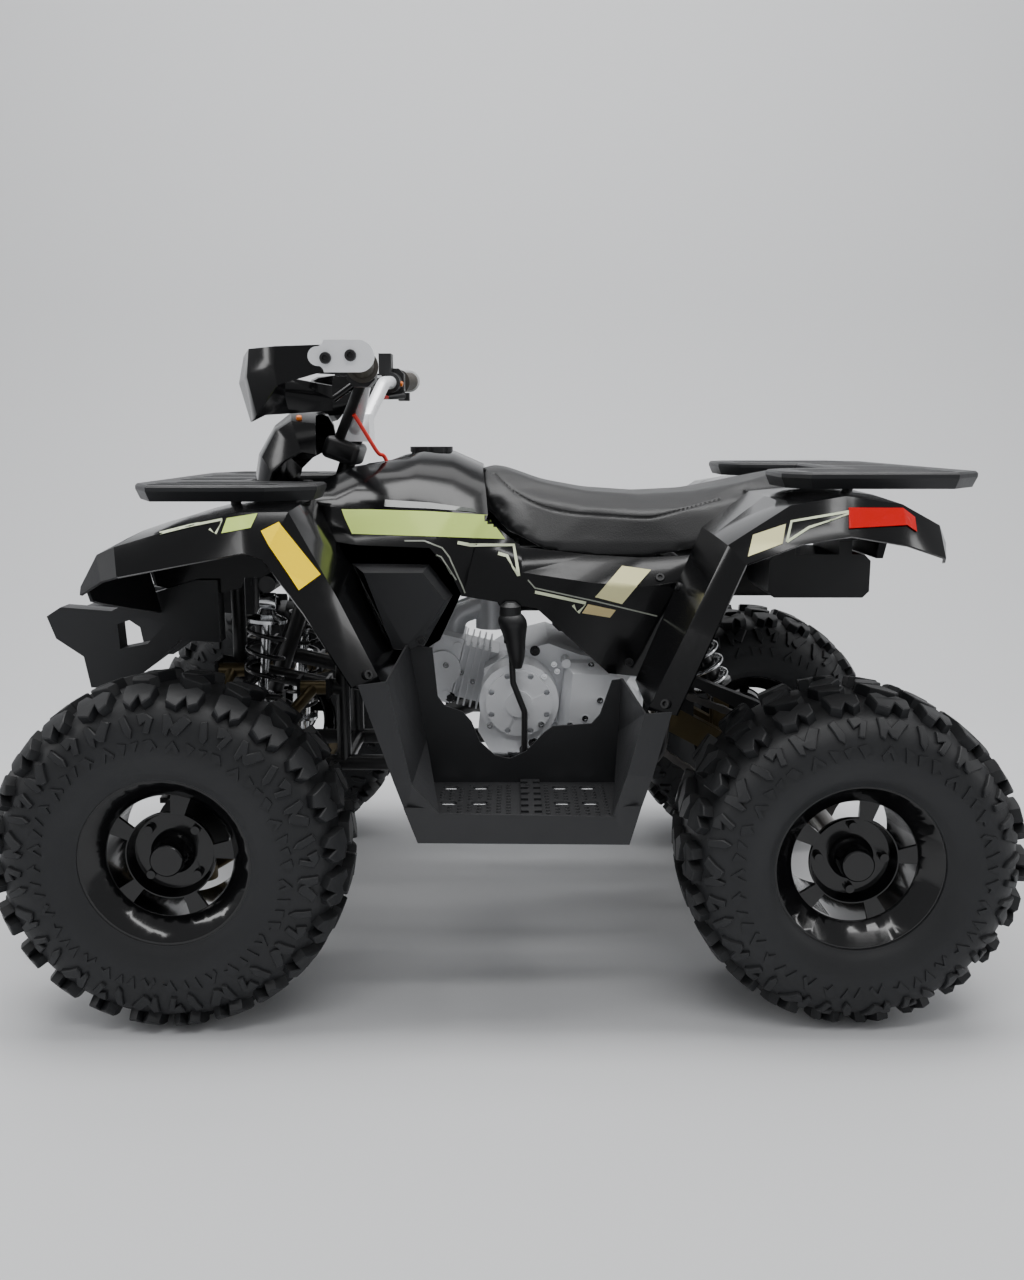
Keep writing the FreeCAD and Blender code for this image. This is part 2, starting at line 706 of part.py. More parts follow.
def inset(points, distance):
    # The same outline with every edge moved inwards; the points run clockwise or not.
    turn = sum(a.cross(b).z for a, b in zip(points, points[1:] + points[:1]))
    side = 1 if turn > 0 else -1
    moved = []
    for before, corner, after in zip(points[-1:] + points[:-1], points, points[1:] + points[:1]):
        first = along_z.cross(corner - before).normalize() * side
        second = along_z.cross(after - corner).normalize() * side
        moved.append(corner + (first + second) * (distance / (1 + first.dot(second))))
    return moved


def rack(outline_shares, slot_shares, x, top, length, half):
    def outline(distance, level):
        points = [Vec(x + a * length, -b * half, level) for a, b, _ in outline_shares]
        across = [flipped(p) for p in reversed(points) if p.y != 0]
        ring = inset([p for p in points] + across, distance)
        return Part.makePolygon(ring + [ring[0]])

    plate = Part.makeLoft([outline(0, top - rack_skin), outline(rack_draft, top - rack_depth)], True, True)
    upper = Part.Face(outline(0, top - rack_skin)).extrude(along_z * (rack_skin - rack_draft / 2))
    crown = Part.makeLoft([outline(0, top - rack_draft / 2), outline(rack_draft / 2, top)], True, True)
    hollow = Part.Face(outline(rack_rim, top - rack_depth - cut_overrun)).extrude(
        along_z * (rack_depth + cut_overrun - rack_skin))
    whole = joined([plate, upper, crown]).cut(hollow)
    slots = []
    for a, b, across in slot_shares:
        for side in (-1, 1):
            first = Vec(x + a * length, side * across * half, top - rack_depth)
            last = Vec(x + b * length, side * across * half, top - rack_depth)
            up = along_z * (rack_depth + cut_overrun)
            radius = slot_width / 2
            slots += [rod(first, first + up, radius), rod(last, last + up, radius),
                      box(first - along_y * radius, last + along_y * radius + up)]
    return whole.cut(slots[0].multiFuse(slots[1:]))


def front_rack():
    plate = rack(front_rack_shares, front_slot_shares, front_axle_x - front_rack_start, front_rack_top,
                 front_rack_length, front_rack_half)
    return trimmed(plate, cowl())


def rear_rack():
    return rack(rear_rack_shares, rear_slot_shares, rear_axle_x - rear_rack_start, rear_rack_top,
                rear_rack_length, rear_rack_half)


# Front bumper: two boxed side arms joined by cross bars

bumper_ahead = 252.0  # of the front axle
bumper_length = 265.0
bumper_base = 405.0
bumper_height = 175.0
bumper_half = 150.0
bumper_arm = 34.0
bumper_bar = 11.0
bumper_arm_shares = [(0.015, 0, 0.657), (0.098, 0, 0.737), (0.385, 0, 0.703), (0.536, 0, 0.817),
    (0.875, 0, 0.971), (0.996, 0, 0.971), (0.996, 0, 0.429), (0.762, 0, 0.451), (0.657, 0, 0.286),
    (0.423, 0, 0.029), (0.242, 0, 0.029), (0.211, 0, 0.303), (0.06, 0, 0.463)]
bumper_window_shares = [(0.415, 0, 0.589), (0.551, 0, 0.657), (0.687, 0, 0.589), (0.581, 0, 0.417),
    (0.423, 0, 0.371)]


def bumper():
    start = Vec(front_axle_x - bumper_ahead, 0, bumper_base)
    size = Vec(bumper_length, 0, bumper_height)
    outline = flat([(a, c) for a, _, c in bumper_arm_shares], start, size, -bumper_half)
    window = flat([(a, c) for a, _, c in bumper_window_shares], start, size, -bumper_half - cut_overrun)
    arm = prism(outline, along_y * bumper_arm)
    arm = arm.cut(prism(window, along_y * (bumper_arm + cut_overrun * 2)))
    bars = []
    for k, lift in ((0, 0), (3, -bumper_bar), (10, bumper_bar * 2)):
        share = bumper_arm_shares[k]
        at = start + Vec(share[0] * size.x + bumper_bar * 2, 0, share[2] * size.z - bumper_bar + lift)
        bars.append(rod(at - along_y * bumper_half, at + along_y * bumper_half, bumper_bar))
    return trimmed(joined([arm, mirrored(arm)] + bars), frame(), front_body())



# Footwells: a floor with raised ends and kerb, and an inner wall cut away round the engine

well_outer = 438.0
well_inner = 222.0
well_front = 245.0  # from the front axle to the start of the tray
well_length = 415.0
well_base = 268.0
well_height = 235.0
well_floor = 284.0
well_front_wall_shares = [
    [(0.027, 0.139, 0.868), (0.113, 0.06, 0.902), (0.133, 1, 0.953)],
    [(0.137, 0.065, 0.336), (0.188, 0, 0.336), (0.19, 1, 0.336)],
    [(0.173, 0.06, 0.162), (0.272, 0, 0.17), (0.21, 1, 0.068)],
]
well_rear_wall_shares = [
    [(0.892, 1, 0.732), (0.918, 0.06, 0.723), (0.998, 0.139, 0.715)],
    [(0.887, 1, 0.391), (0.863, 0, 0.391), (0.937, 0.065, 0.37)],
    [(0.882, 1, 0.068), (0.819, 0, 0.153), (0.896, 0.06, 0.153)],
]
well_kerb_shares = [(0.164, 0, 0.204), (0.173, 0, 0.162), (0.207, 0, 0), (0.87, 0, -0.009),
    (0.896, 0, 0.153), (0.906, 0, 0.213), (0.831, 0, 0.213), (0.819, 0, 0.153), (0.272, 0, 0.17),
    (0.253, 0, 0.204)]
well_wall_shares = [(0.133, 0, 0.949), (0.224, 0, 0.928), (0.241, 0, 0.621), (0.265, 0, 0.562),
    (0.328, 0, 0.523), (0.359, 0, 0.46), (0.388, 0, 0.332), (0.441, 0, 0.243), (0.494, 0, 0.221),
    (0.552, 0, 0.268), (0.617, 0, 0.391), (0.646, 0, 0.43), (0.783, 0, 0.447), (0.812, 0, 0.506),
    (0.853, 0, 0.723), (0.892, 0, 0.732), (0.882, 0, 0.051), (0.21, 0, 0.051)]
peg_share = 0.566  # of the tray's length
peg_width = 28.0
peg_height = 5.0
tread_hole = 7.5
tread_hole_length = 24.0
tread_hole_shares = [(0.289, 0.139), (0.393, 0.139), (0.67, 0.139), (0.766, 0.139),
    (0.289, 0.463), (0.393, 0.463), (0.67, 0.463), (0.766, 0.463)]
tooth_pitch = 26.0
tooth_height = 3.0
tooth_width = 5.0


def well_box():
    start = Vec(front_axle_x + well_front, -well_outer, well_base)
    return start, Vec(well_length, well_outer - well_inner, well_height)


@cache
def footwell():
    start, size = well_box()
    front = sheet([placed(row, start, size) for row in well_front_wall_shares], panel_wall)
    rear = sheet([placed(row, start, size) for row in well_rear_wall_shares], panel_wall)
    kerb = prism(flat([(a, c) for a, _, c in well_kerb_shares], start, size, -well_outer), along_y * panel_wall)
    wall_outline = flat([(a, c) for a, _, c in well_wall_shares], start, size, -well_inner)
    wall = prism(wall_outline, along_y * -panel_wall)
    first, second = placed((well_front_wall_shares[2][1], well_front_wall_shares[2][2]), start, size)
    third, fourth = placed((well_rear_wall_shares[2][0], well_rear_wall_shares[2][1]), start, size)
    floor = prism([Vec(p.x, p.y, well_floor - panel_wall) for p in (first, second, third, fourth)],
                  along_z * panel_wall)
    holes = []
    half = along_x * (tread_hole_length / 2 - tread_hole)
    up = along_z * (panel_wall + cut_overrun * 2)
    for a, b in tread_hole_shares:
        at = Vec(start.x + a * size.x, -well_inner - b * size.y, well_floor - panel_wall - cut_overrun)
        holes += [rod(at - half, at - half + up, tread_hole), rod(at + half, at + half + up, tread_hole),
                  box(at - half - along_y * tread_hole, at + half + along_y * tread_hole + up)]
    floor = floor.cut(holes[0].multiFuse(holes[1:]))
    peg_x = start.x + peg_share * size.x
    peg = box(Vec(peg_x - peg_width / 2, -well_outer + panel_wall * 2, well_floor),
              Vec(peg_x + peg_width / 2, -well_inner - panel_wall, well_floor + peg_height))
    teeth = []
    count = int((well_outer - well_inner - tooth_pitch) / tooth_pitch)
    for k in range(count):
        y = -well_inner - tooth_pitch * (k + 1)
        for side in (-1, 1):
            x = peg_x + side * (peg_width / 2 - tooth_width)
            low = Vec(x - tooth_width, y, well_floor + peg_height)
            teeth.append(box(low, low + Vec(tooth_width * 2, tooth_width, tooth_height)))
    return trimmed(joined([front, rear, kerb, wall, floor, peg] + teeth), front_body(), rear_body())


# Matte covers behind the fender legs, over the footwells' front corners

knee_front = 210.0  # behind the front axle
knee_outer = 232.0
knee_inner = 175.0
knee_length = 160.0
knee_base = 460.0
knee_height = 145.0
knee_outline_shares = [(0.05, 0, 0.986), (0.762, 0, 0.979), (0.975, 0, 0.662), (0.7, 0, 0.124),
    (0.562, 0, 0.083), (0.425, 0, 0.097)]
knee_face_shares = [(0.2, 0, 0.938), (0.725, 0, 0.938), (0.925, 0, 0.662), (0.675, 0, 0.207),
    (0.562, 0, 0.166), (0.45, 0, 0.179)]


def knee_covers():
    start = Vec(front_axle_x + knee_front, 0, knee_base)
    size = Vec(knee_length, 0, knee_height)
    base = flat([(a, c) for a, _, c in knee_outline_shares], start, size, -knee_inner)
    face = flat([(a, c) for a, _, c in knee_face_shares], start, size, -knee_outer)
    loft = hulled([base, face])
    return pair(trimmed(loft, front_body(), tank_cover(), footwell()))


# Front suspension: two A-arms and a coil-over shock on each side

arm_tube = 9.0
arm_bend = 30.0
ball_boss = 20.0
ball_boss_height = 20.0
ball_pin = 8.0
kingpin_top = 332.0
kingpin_bottom = 168.0
arm_knee_x = 118.0  # behind the kingpin, where the rear leg turns round the shock
arm_knee_y = 180.0
shock_foot_behind = 66.0  # behind the front axle
shock_foot_z = 236.0
shock_head_behind = 90.0
shock_head_z = 546.0
shock_foot = Vec(front_axle_x + shock_foot_behind, 0, shock_foot_z)
shock_foot_y = 172.0
shock_head = Vec(front_axle_x + shock_head_behind, 0, shock_head_z)
shock_head_y = 168.0
spring_radius = 25.0
spring_turns = 7
damper_radius = 14.0
rod_radius = 7.0
eye_radius = 13.0
eye_width = 26.0


def a_arm(z_front, z_rear, ball_z, boss_low):
    front = Vec(upper_pivot_front.x, -pivot_y, z_front)
    rear = Vec(upper_pivot_rear.x, -pivot_y, z_rear)
    ball = Vec(kingpin.x, kingpin.y, ball_z)
    along = (kingpin_y - arm_knee_y) / (kingpin_y - pivot_y)
    knee = Vec(front_axle_x + arm_knee_x, -arm_knee_y, ball_z + (z_rear - ball_z) * along)
    pieces = [rod(p - along_x * pivot_length / 2, p + along_x * pivot_length / 2, pivot_radius)
              for p in (front, rear)]
    pieces.append(rod(front, ball, arm_tube))
    pieces.append(tube([rear, knee, ball], arm_tube, arm_bend))
    pieces.append(rod(Vec(ball.x, ball.y, boss_low), Vec(ball.x, ball.y, boss_low + ball_boss_height), ball_boss))
    whole = joined(pieces)
    bore = rod(Vec(ball.x, ball.y, boss_low - arm_tube),
               Vec(ball.x, ball.y, boss_low + ball_boss_height + arm_tube), ball_pin + running_gap)
    return whole.cut(bore)


@cache
def a_arms():
    upper = a_arm(upper_pivot_front.z, upper_pivot_rear.z, kingpin_top + ball_boss_height / 2, kingpin_top)
    lower = a_arm(lower_pivot_z, lower_pivot_z, kingpin_bottom - ball_boss_height / 2,
                  kingpin_bottom - ball_boss_height)
    front_leg_z = lower_pivot_z + (kingpin_bottom - lower_pivot_z) * (shock_foot_y - pivot_y) / (
        kingpin_y - pivot_y)
    across = rod(Vec(upper_pivot_front.x - arm_tube, -shock_foot_y, front_leg_z),
                 Vec(front_axle_x + arm_knee_x, -shock_foot_y, front_leg_z), arm_tube)
    ear = box(Vec(shock_foot.x - eye_radius, -shock_foot_y - eye_width / 2 - tab_wall, front_leg_z - arm_tube),
              Vec(shock_foot.x + eye_radius, -shock_foot_y + eye_width / 2 + tab_wall, shock_foot.z + eye_radius))
    slot = box(Vec(shock_foot.x - eye_radius * 2, -shock_foot_y - eye_width / 2, shock_foot.z - eye_radius - running_gap),
               Vec(shock_foot.x + eye_radius * 2, -shock_foot_y + eye_width / 2, shock_foot.z + eye_radius * 2))
    pin = rod(Vec(shock_foot.x, -shock_foot_y - eye_width / 2 - tab_wall, shock_foot.z),
              Vec(shock_foot.x, -shock_foot_y + eye_width / 2 + tab_wall, shock_foot.z), rod_radius)
    lower = joined([lower, across, ear.cut(slot), pin])
    return Part.makeCompound([upper, lower, mirrored(upper), mirrored(lower)])


def coil_over(foot, head, spring, damper, turns):
    # Damper, spring and the two eyes; the spring is one ridged sleeve that shows its turns.
    axis = (head - foot).normalize()
    length = (head - foot).Length
    low = length / 5
    high = length - eye_radius * 2
    pitch = (high - low) / turns
    wire = pitch / 4
    profile = [(0, 0), (damper, 0), (damper, low - wire * 2), (spring + wire, low - wire * 2), (spring + wire, low)]
    for k in range(turns):
        z = low + pitch * k
        profile += [(damper, z + wire / 2), (damper, z + pitch / 2 - wire), (spring, z + pitch / 2 - wire / 2),
                    (spring, z + pitch / 2 + wire / 2), (damper, z + pitch / 2 + wire)]
    profile += [(damper, high - wire), (spring + wire, high - wire), (spring + wire, high + wire),
                (damper, high + wire), (damper, length), (0, length)]
    body = spun([(r, a) for r, a in profile], foot, axis)
    eyes = [rod(p - along_y * eye_width / 2, p + along_y * eye_width / 2, eye_radius) for p in (foot, head)]
    bores = [rod(p - along_y * eye_width, p + along_y * eye_width, rod_radius) for p in (foot, head)]
    return joined([body] + eyes).cut(bores[0].fuse(bores[1]))


def front_shocks():
    foot = Vec(shock_foot.x, -shock_foot_y, shock_foot.z)
    head = Vec(shock_head.x, -shock_head_y, shock_head.z)
    shock = coil_over(foot, head, spring_radius, damper_radius, spring_turns)
    return pair(trimmed(shock, frame(), a_arms()))


# Rear suspension: a swingarm that carries the axle, and one shock in the middle

swing_arm_y = 48.0
swing_arm_wide = 28.0
swing_arm_tall = 40.0
carrier_radius = 38.0
carrier_half = 52.0
axle_radius = 15.0
axle_height = rear_tyre_radius
rear_foot_ahead = 112.0  # ahead of the rear axle
rear_foot_z = 352.0
rear_head_ahead = 190.0
rear_head_z = 548.0
rear_shock_foot = Vec(rear_axle_x - rear_foot_ahead, 0, rear_foot_z)
rear_shock_head = Vec(rear_axle_x - rear_head_ahead, 0, rear_head_z)
rear_spring_radius = 29.0
swing_brace_x = 110.0  # ahead of the rear axle


def beam(start, end, wide, tall):
    # A straight box-section arm in the XZ plane.
    along = (end - start).normalize()
    up = along.cross(along_y).normalize()
    up = up if up.z > 0 else up * -1
    ring = [start + along_y * a * wide / 2 + up * b * tall / 2 for a, b in ((-1, -1), (1, -1), (1, 1), (-1, 1))]
    return prism(ring, end - start)


def swing_line(x):
    share = (x - swing_pivot_x) / (rear_axle_x - swing_pivot_x)
    return swing_pivot_z + (axle_height - swing_pivot_z) * share


@cache
def swingarm():
    axle = Vec(rear_axle_x, 0, axle_height)
    pieces = [rod(Vec(swing_pivot_x, -rail_y + frame_tube, swing_pivot_z),
                  Vec(swing_pivot_x, rail_y - frame_tube, swing_pivot_z), swing_pivot_radius * 3 / 2),
              rod(axle - along_y * carrier_half, axle + along_y * carrier_half, carrier_radius)]
    for side in (-1, 1):
        pieces.append(beam(Vec(swing_pivot_x, side * swing_arm_y, swing_pivot_z),
                           axle + along_y * side * (carrier_half - swing_arm_wide / 2),
                           swing_arm_wide, swing_arm_tall))
    brace_x = rear_axle_x - swing_brace_x
    brace = box(Vec(brace_x - swing_arm_tall / 2, -swing_arm_y, swing_line(brace_x) - swing_arm_tall / 3),
                Vec(brace_x + swing_arm_tall / 2, swing_arm_y, swing_line(brace_x) + swing_arm_tall / 3))
    ears = [box(Vec(rear_shock_foot.x - eye_radius, min(side * eye_width / 2, side * (eye_width / 2 + tab_wall)),
                    swing_line(brace_x)),
                Vec(rear_shock_foot.x + eye_radius, max(side * eye_width / 2, side * (eye_width / 2 + tab_wall)),
                    rear_shock_foot.z + eye_radius)) for side in (-1, 1)]
    pin = rod(rear_shock_foot - along_y * (eye_width / 2 + tab_wall),
              rear_shock_foot + along_y * (eye_width / 2 + tab_wall), rod_radius)
    whole = joined(pieces + [brace, pin] + ears)
    bore = rod(axle - along_y * carrier_half * 2, axle + along_y * carrier_half * 2, axle_radius + running_gap)
    return trimmed(whole.cut(bore), frame())


def rear_shock():
    shock = coil_over(rear_shock_foot, rear_shock_head, rear_spring_radius, damper_radius, spring_turns)
    return trimmed(shock, frame(), swingarm())



# Steering column with its pitman plate, and the tie rods

plate_wall = 6.0
pin_gap = 14.0  # each tie rod's pin lies this far from the middle of the plate
pin_radius = 5.0
plate_edge = 12.0
stud_radius = 4.0
stud_bore = 8.5  # the loose outer end: the linkage is opened here
rod_end_radius = 12.5
rod_end_wall = 10.0
tie_rod_radius = 5.0
arm_stud_z = 282.0
link_gap = 4.0  # between the rod ends and the plates that they lie on
column_top = 568.0


def pitman_pin(side):
    return column_foot - column_square * steer_arm + along_y * side * pin_gap


@cache
def steering_column():
    stem = rod(on_column(-pin_gap), on_column(column_top), column_radius)
    outline = []
    for a, b in ((-1, -1), (1, -1), (1, 1), (-1, 1)):
        reach = -steer_arm - plate_edge if a > 0 else plate_edge * 3 / 2
        outline.append(on_column(0) + column_square * reach + along_y * b * (pin_gap + plate_edge))
    plate = prism(outline, column_axis * plate_wall)
    pins = [rod(pitman_pin(side) - column_axis * (rod_end_wall + link_gap), pitman_pin(side) + column_axis * plate_wall,
                pin_radius) for side in (-1, 1)]
    return joined([stem, plate] + pins)


def arm_stud(side):
    return Vec(kingpin.x - steer_arm, side * kingpin_y, arm_stud_z)


def tie_rod(side):
    # A straight rod between two eyes; the outer eye stays clear of its stud.
    inner = pitman_pin(side) - column_axis * (rod_end_wall + link_gap) / 2
    outer = arm_stud(side)
    reach = (outer - inner).normalize()
    half = column_axis * rod_end_wall / 2
    eye = rod(inner - half, inner + half, pin_radius * 2)
    ring = rod(outer - along_z * rod_end_wall / 2, outer + along_z * rod_end_wall / 2, rod_end_radius)
    whole = joined([rod(inner + reach * pin_radius, outer - reach * stud_bore, tie_rod_radius), eye, ring])
    bore = rod(inner - half * 3, inner + half * 3, pin_radius + running_gap)
    loose = rod(outer - along_z * rod_end_wall, outer + along_z * rod_end_wall, stud_bore)
    return whole.cut(bore).cut(loose)


# Front knuckles: a post on the two ball joints, a stub axle and a steering arm

post_radius = 15.0
post_foot = 20.0  # the post starts this far over the lower joint
stub_radius = 10.0
stub_past_wheel = 20.0  # past the middle of the tyre
stub_reach = front_wheel_y + stub_past_wheel
hub_plate_radius = 52.0
hub_plate_inset = 80.0  # from the middle of the tyre
hub_plate_y = front_wheel_y - hub_plate_inset
hub_plate_wall = 7.0
arm_wall = 8.0
arm_width = 22.0


def knuckle():
    low = kingpin_bottom + post_foot
    high = kingpin_top - moving_gap / 2
    at = Vec(kingpin.x, kingpin.y, 0)
    post = rod(at + along_z * low, at + along_z * high, post_radius)
    pin = rod(at + along_z * (kingpin_bottom - ball_boss_height), at + along_z * (kingpin_top + ball_boss_height),
              ball_pin)
    axle = Vec(kingpin.x, -kingpin_y, front_tyre_radius)
    stub = rod(axle, Vec(axle.x, -stub_reach, axle.z), stub_radius)
    plate = rod(Vec(axle.x, -hub_plate_y, axle.z), Vec(axle.x, -hub_plate_y - hub_plate_wall, axle.z),
                hub_plate_radius)
    hub = rod(axle, Vec(axle.x, -hub_plate_y, axle.z), stub_radius * 2)
    stud = arm_stud(-1)
    arm_top = stud.z - rod_end_wall / 2 - link_gap
    arm = box(Vec(stud.x - arm_width / 2, -kingpin_y - arm_width / 2, arm_top - arm_wall),
              Vec(kingpin.x, -kingpin_y + arm_width / 2, arm_top))
    pin_up = rod(Vec(stud.x, stud.y, arm_top - arm_wall), Vec(stud.x, stud.y, stud.z + rod_end_wall / 2 + link_gap),
                 stud_radius)
    return joined([post, pin, stub, plate, hub, arm, pin_up])


# Wheels: pressed rims with five windows, and tyres with angled lugs

lug_count = 22  # blocks round the tyre, left and right in turn
tyre_sides = lug_count
lug_height = 15.0
bead_radius = 101.0
flange_radius = 114.0
rim_wall = 4.0
disc_wall = 6.0
window_count = 5
window_inner = 60.0
window_outer = 84.0
window_span = 54.0  # degrees
window_turn = 192.0  # degrees, where the first window's middle lies
disc_dish = 20.0  # the ring of windows stands out from the stud plate by this much
cap_reach = 46.0
hub_reach = 30.0
hub_cap_radius = 22.0
bolt_radius = 6.0
bolt_height = 9.0
bore_radius = stub_radius + running_gap
bolt_count = 4
front_stud_turn = 45.0  # degrees
front_bolt_circle = 88.0
rear_bolt_circle = 88.0
front_disc_at = -16.0  # from the middle of the tyre
rear_disc_at = -38.0
front_barrel_drop = 16.0
rear_barrel_drop = 16.0
# Carcass outline as shares of the carcass's radial height and its half width
carcass_shares = [(0, 0.66), (0.3, 0.88), (0.72, 0.93), (1, 0.6)]
# Along a lug: place as a share of the half width, start and span as shares of one side of the carcass,
# and how far its top and its root lie below the crown as shares of the lug's height
lug_shares = [(0.06, 0.05, 0.6, 0, 1.5), (0.6, 0.3, 0.66, 0.1, 1.7), (0.97, 0.4, 0.55, 1.5, 3.6)]


def turned_point(radius, angle, y):
    return Vec(radius * sin(angle), y, radius * cos(angle))


def carcass(radius, half):
    # A faceted ring: straight facets between evenly turned sections.
    tall = radius - lug_height - bead_radius
    seat = bead_radius / cos(pi / tyre_sides)
    side = [(seat + a * (tall - seat + bead_radius), b * half) for a, b in carcass_shares]
    section = [(r, -y) for r, y in side] + [(r, y) for r, y in reversed(side)]
    faces = []
    for k in range(tyre_sides):
        first = 2 * pi * k / tyre_sides
        second = 2 * pi * (k + 1) / tyre_sides
        for (r0, y0), (r1, y1) in zip(section, section[1:] + section[:1]):
            faces.append(corners([turned_point(r0, first, y0), turned_point(r1, first, y1),
                                  turned_point(r1, second, y1), turned_point(r0, second, y0)]))
    return faceted(faces)


def lug(radius, half, place):
    # One tread block: a slanted bar from the crown that bends down over the shoulder.
    step = 2 * pi / tyre_sides
    side = 1 if place % 2 else -1
    rings = []
    for out, start, span, top, root in lug_shares:
        first = step * (place + start)
        last = first + step * span
        high = radius - lug_height * top
        low = radius - lug_height * root
        rings.append([turned_point(low, first, side * out * half), turned_point(high, first, side * out * half),
                      turned_point(high, last, side * out * half), turned_point(low, last, side * out * half)])
    return hulled(rings)


def tyre(radius, width):
    lugs = [lug(radius, width / 2, place) for place in range(lug_count)]
    return carcass(radius, width / 2).multiFuse(lugs)


def rim(tyre_radius, width, disc_at, bolt_circle, bolts, first_bolt, shaft, drop):
    # Barrel with both flanges, a dished disc with five windows, hub and cap. The outside is at -Y.
    seat_half = carcass_shares[0][1] * width / 2 - running_gap
    (low, first), (high, second) = carcass_shares[:2]
    flare = (second - first) * width / 2 / ((high - low) * (tyre_radius - lug_height - bead_radius))
    lip = seat_half + running_gap * 4 + (flange_radius - bead_radius) / cos(pi / tyre_sides) * flare
    edge = lip + rim_wall
    face_at = disc_at - disc_dish
    well = max(seat_half / 2, disc_wall + rim_wall / 2 - face_at)
    well_radius = bead_radius - drop
    seat_radius = bead_radius - running_gap
    barrel = spun([(seat_radius, -seat_half), (flange_radius, -lip), (flange_radius, -edge),
                   (flange_radius - rim_wall, -edge), (seat_radius - rim_wall, -seat_half),
                   (well_radius, -well), (well_radius, well), (seat_radius - rim_wall, seat_half),
                   (flange_radius - rim_wall, edge), (flange_radius, edge), (flange_radius, lip),
                   (seat_radius, seat_half), (well_radius + rim_wall, well), (well_radius + rim_wall, -well)],
                  Vec())
    plate = bolt_circle / 2 + bolt_radius * 3 / 2
    brow = window_inner - rim_wall / 2
    meet = well_radius + rim_wall / 2
    disc = spun([(shaft, disc_at), (shaft, disc_at - disc_wall), (plate, disc_at - disc_wall),
                 (brow, face_at - disc_wall), (meet, face_at - disc_wall), (meet, face_at),
                 (brow, face_at), (plate, disc_at)], Vec())
    collar = hub_cap_radius * 3 / 2
    hub = spun([(shaft, disc_at + hub_reach), (collar, disc_at + hub_reach),
                (collar, disc_at - disc_wall / 2), (shaft, disc_at - disc_wall / 2)], Vec())
    root = disc_at - disc_wall
    tip = disc_at - cap_reach
    cap = spun([(0, root), (shaft + disc_wall, root), (hub_cap_radius + rim_wall * 2, root + disc_wall / 2),
                (hub_cap_radius + rim_wall * 2, root - disc_wall), (hub_cap_radius + rim_wall / 2, root - disc_wall * 2),
                (hub_cap_radius, tip + rim_wall / 2), (hub_cap_radius - rim_wall / 2, tip), (0, tip)], Vec())
    whole = joined([barrel, disc, hub, cap])
    cuts = []
    for k in range(window_count):
        middle = 360 * k / window_count + window_turn
        ring = Part.makeCylinder(window_outer, disc_dish + disc_wall * 2, Vec(0, face_at - disc_wall * 2, 0),
                                 along_y, window_span)
        core = Part.makeCylinder(window_inner, disc_dish + disc_wall * 2, Vec(0, face_at - disc_wall * 2, 0),
                                 along_y)
        cuts.append(turned(ring.cut(core), along_y, Vec(), middle - window_span / 2))
    whole = whole.cut(cuts[0].multiFuse(cuts[1:]))
    studs = []
    for k in range(bolts):
        angle = 2 * pi * k / bolts + radians(first_bolt)
        at = turned_point(bolt_circle / 2, angle, disc_at - disc_wall - bolt_height)
        studs.append(rod(at, at + along_y * (bolt_height + disc_wall), bolt_radius))
    return joined([whole] + studs)


def front_wheel(shape):
    copy = shape.copy()
    copy.translate(Vec(front_axle_x, -front_wheel_y, front_tyre_radius))
    return copy


def rear_wheel(shape):
    copy = shape.copy()
    copy.translate(Vec(rear_axle_x, -rear_wheel_y, rear_tyre_radius))
    return copy


# Rear axle: shaft, sprocket on its carrier, brake disc

sprocket_teeth = 37
sprocket_wall = 6.0
chain_y = 70.0
chain_width = 13.0
chain_half_height = 6.0
chain_bulge = 1.6
chain_pitch = 12.7
sprocket_radius = sprocket_teeth * chain_pitch / (2 * pi)
drive_teeth = 17
drive_behind = 605.0  # behind the front axle
drive_x = front_axle_x + drive_behind
drive_z = 392.0
drive_radius = drive_teeth * chain_pitch / (2 * pi)
sprocket_hub = 30.0
brake_disc_radius = 78.0
brake_disc_wall = 4.0
brake_disc_y = 82.0
axle_past_wheel = 44.0  # past the middle of the tyre
axle_end = rear_wheel_y + axle_past_wheel
chain_clear = 1.5
lightening_count = 6


def toothed(radius, teeth, depth, wall, centre, level):
    points = []
    for k in range(teeth):
        for offset, r in ((0.0, radius - depth), (0.35, radius), (0.65, radius)):
            angle = 2 * pi * (k + offset) / teeth
            points.append(Vec(centre.x + r * sin(angle), level, centre.z + r * cos(angle)))
    return prism(points, along_y * wall)


def rear_axle():
    centre = Vec(rear_axle_x, 0, axle_height)
    shaft = rod(centre - along_y * axle_end, centre + along_y * axle_end, axle_radius)
    sprocket = toothed(sprocket_radius - chain_half_height - chain_clear, sprocket_teeth, chain_half_height,
                       sprocket_wall, centre, -chain_y - sprocket_wall / 2)
    hubs = [rod(centre + along_y * side * (carrier_half + moving_gap),
                centre + along_y * side * (brake_disc_y + chain_width), sprocket_hub) for side in (-1, 1)]
    disc = rod(centre + along_y * brake_disc_y, centre + along_y * (brake_disc_y + brake_disc_wall),
               brake_disc_radius)
    lightening = []
    for k in range(lightening_count):
        angle = 2 * pi * k / lightening_count
        for level, reach in ((-chain_y, sprocket_radius), (brake_disc_y, brake_disc_radius)):
            at = centre + turned_point(reach * 2 / 3, angle, level)
            lightening.append(rod(at - along_y * chain_width, at + along_y * chain_width, sprocket_radius / 8))
    plates = joined([sprocket, disc]).cut(lightening[0].multiFuse(lightening[1:]))
    return joined([shaft, plates] + hubs)


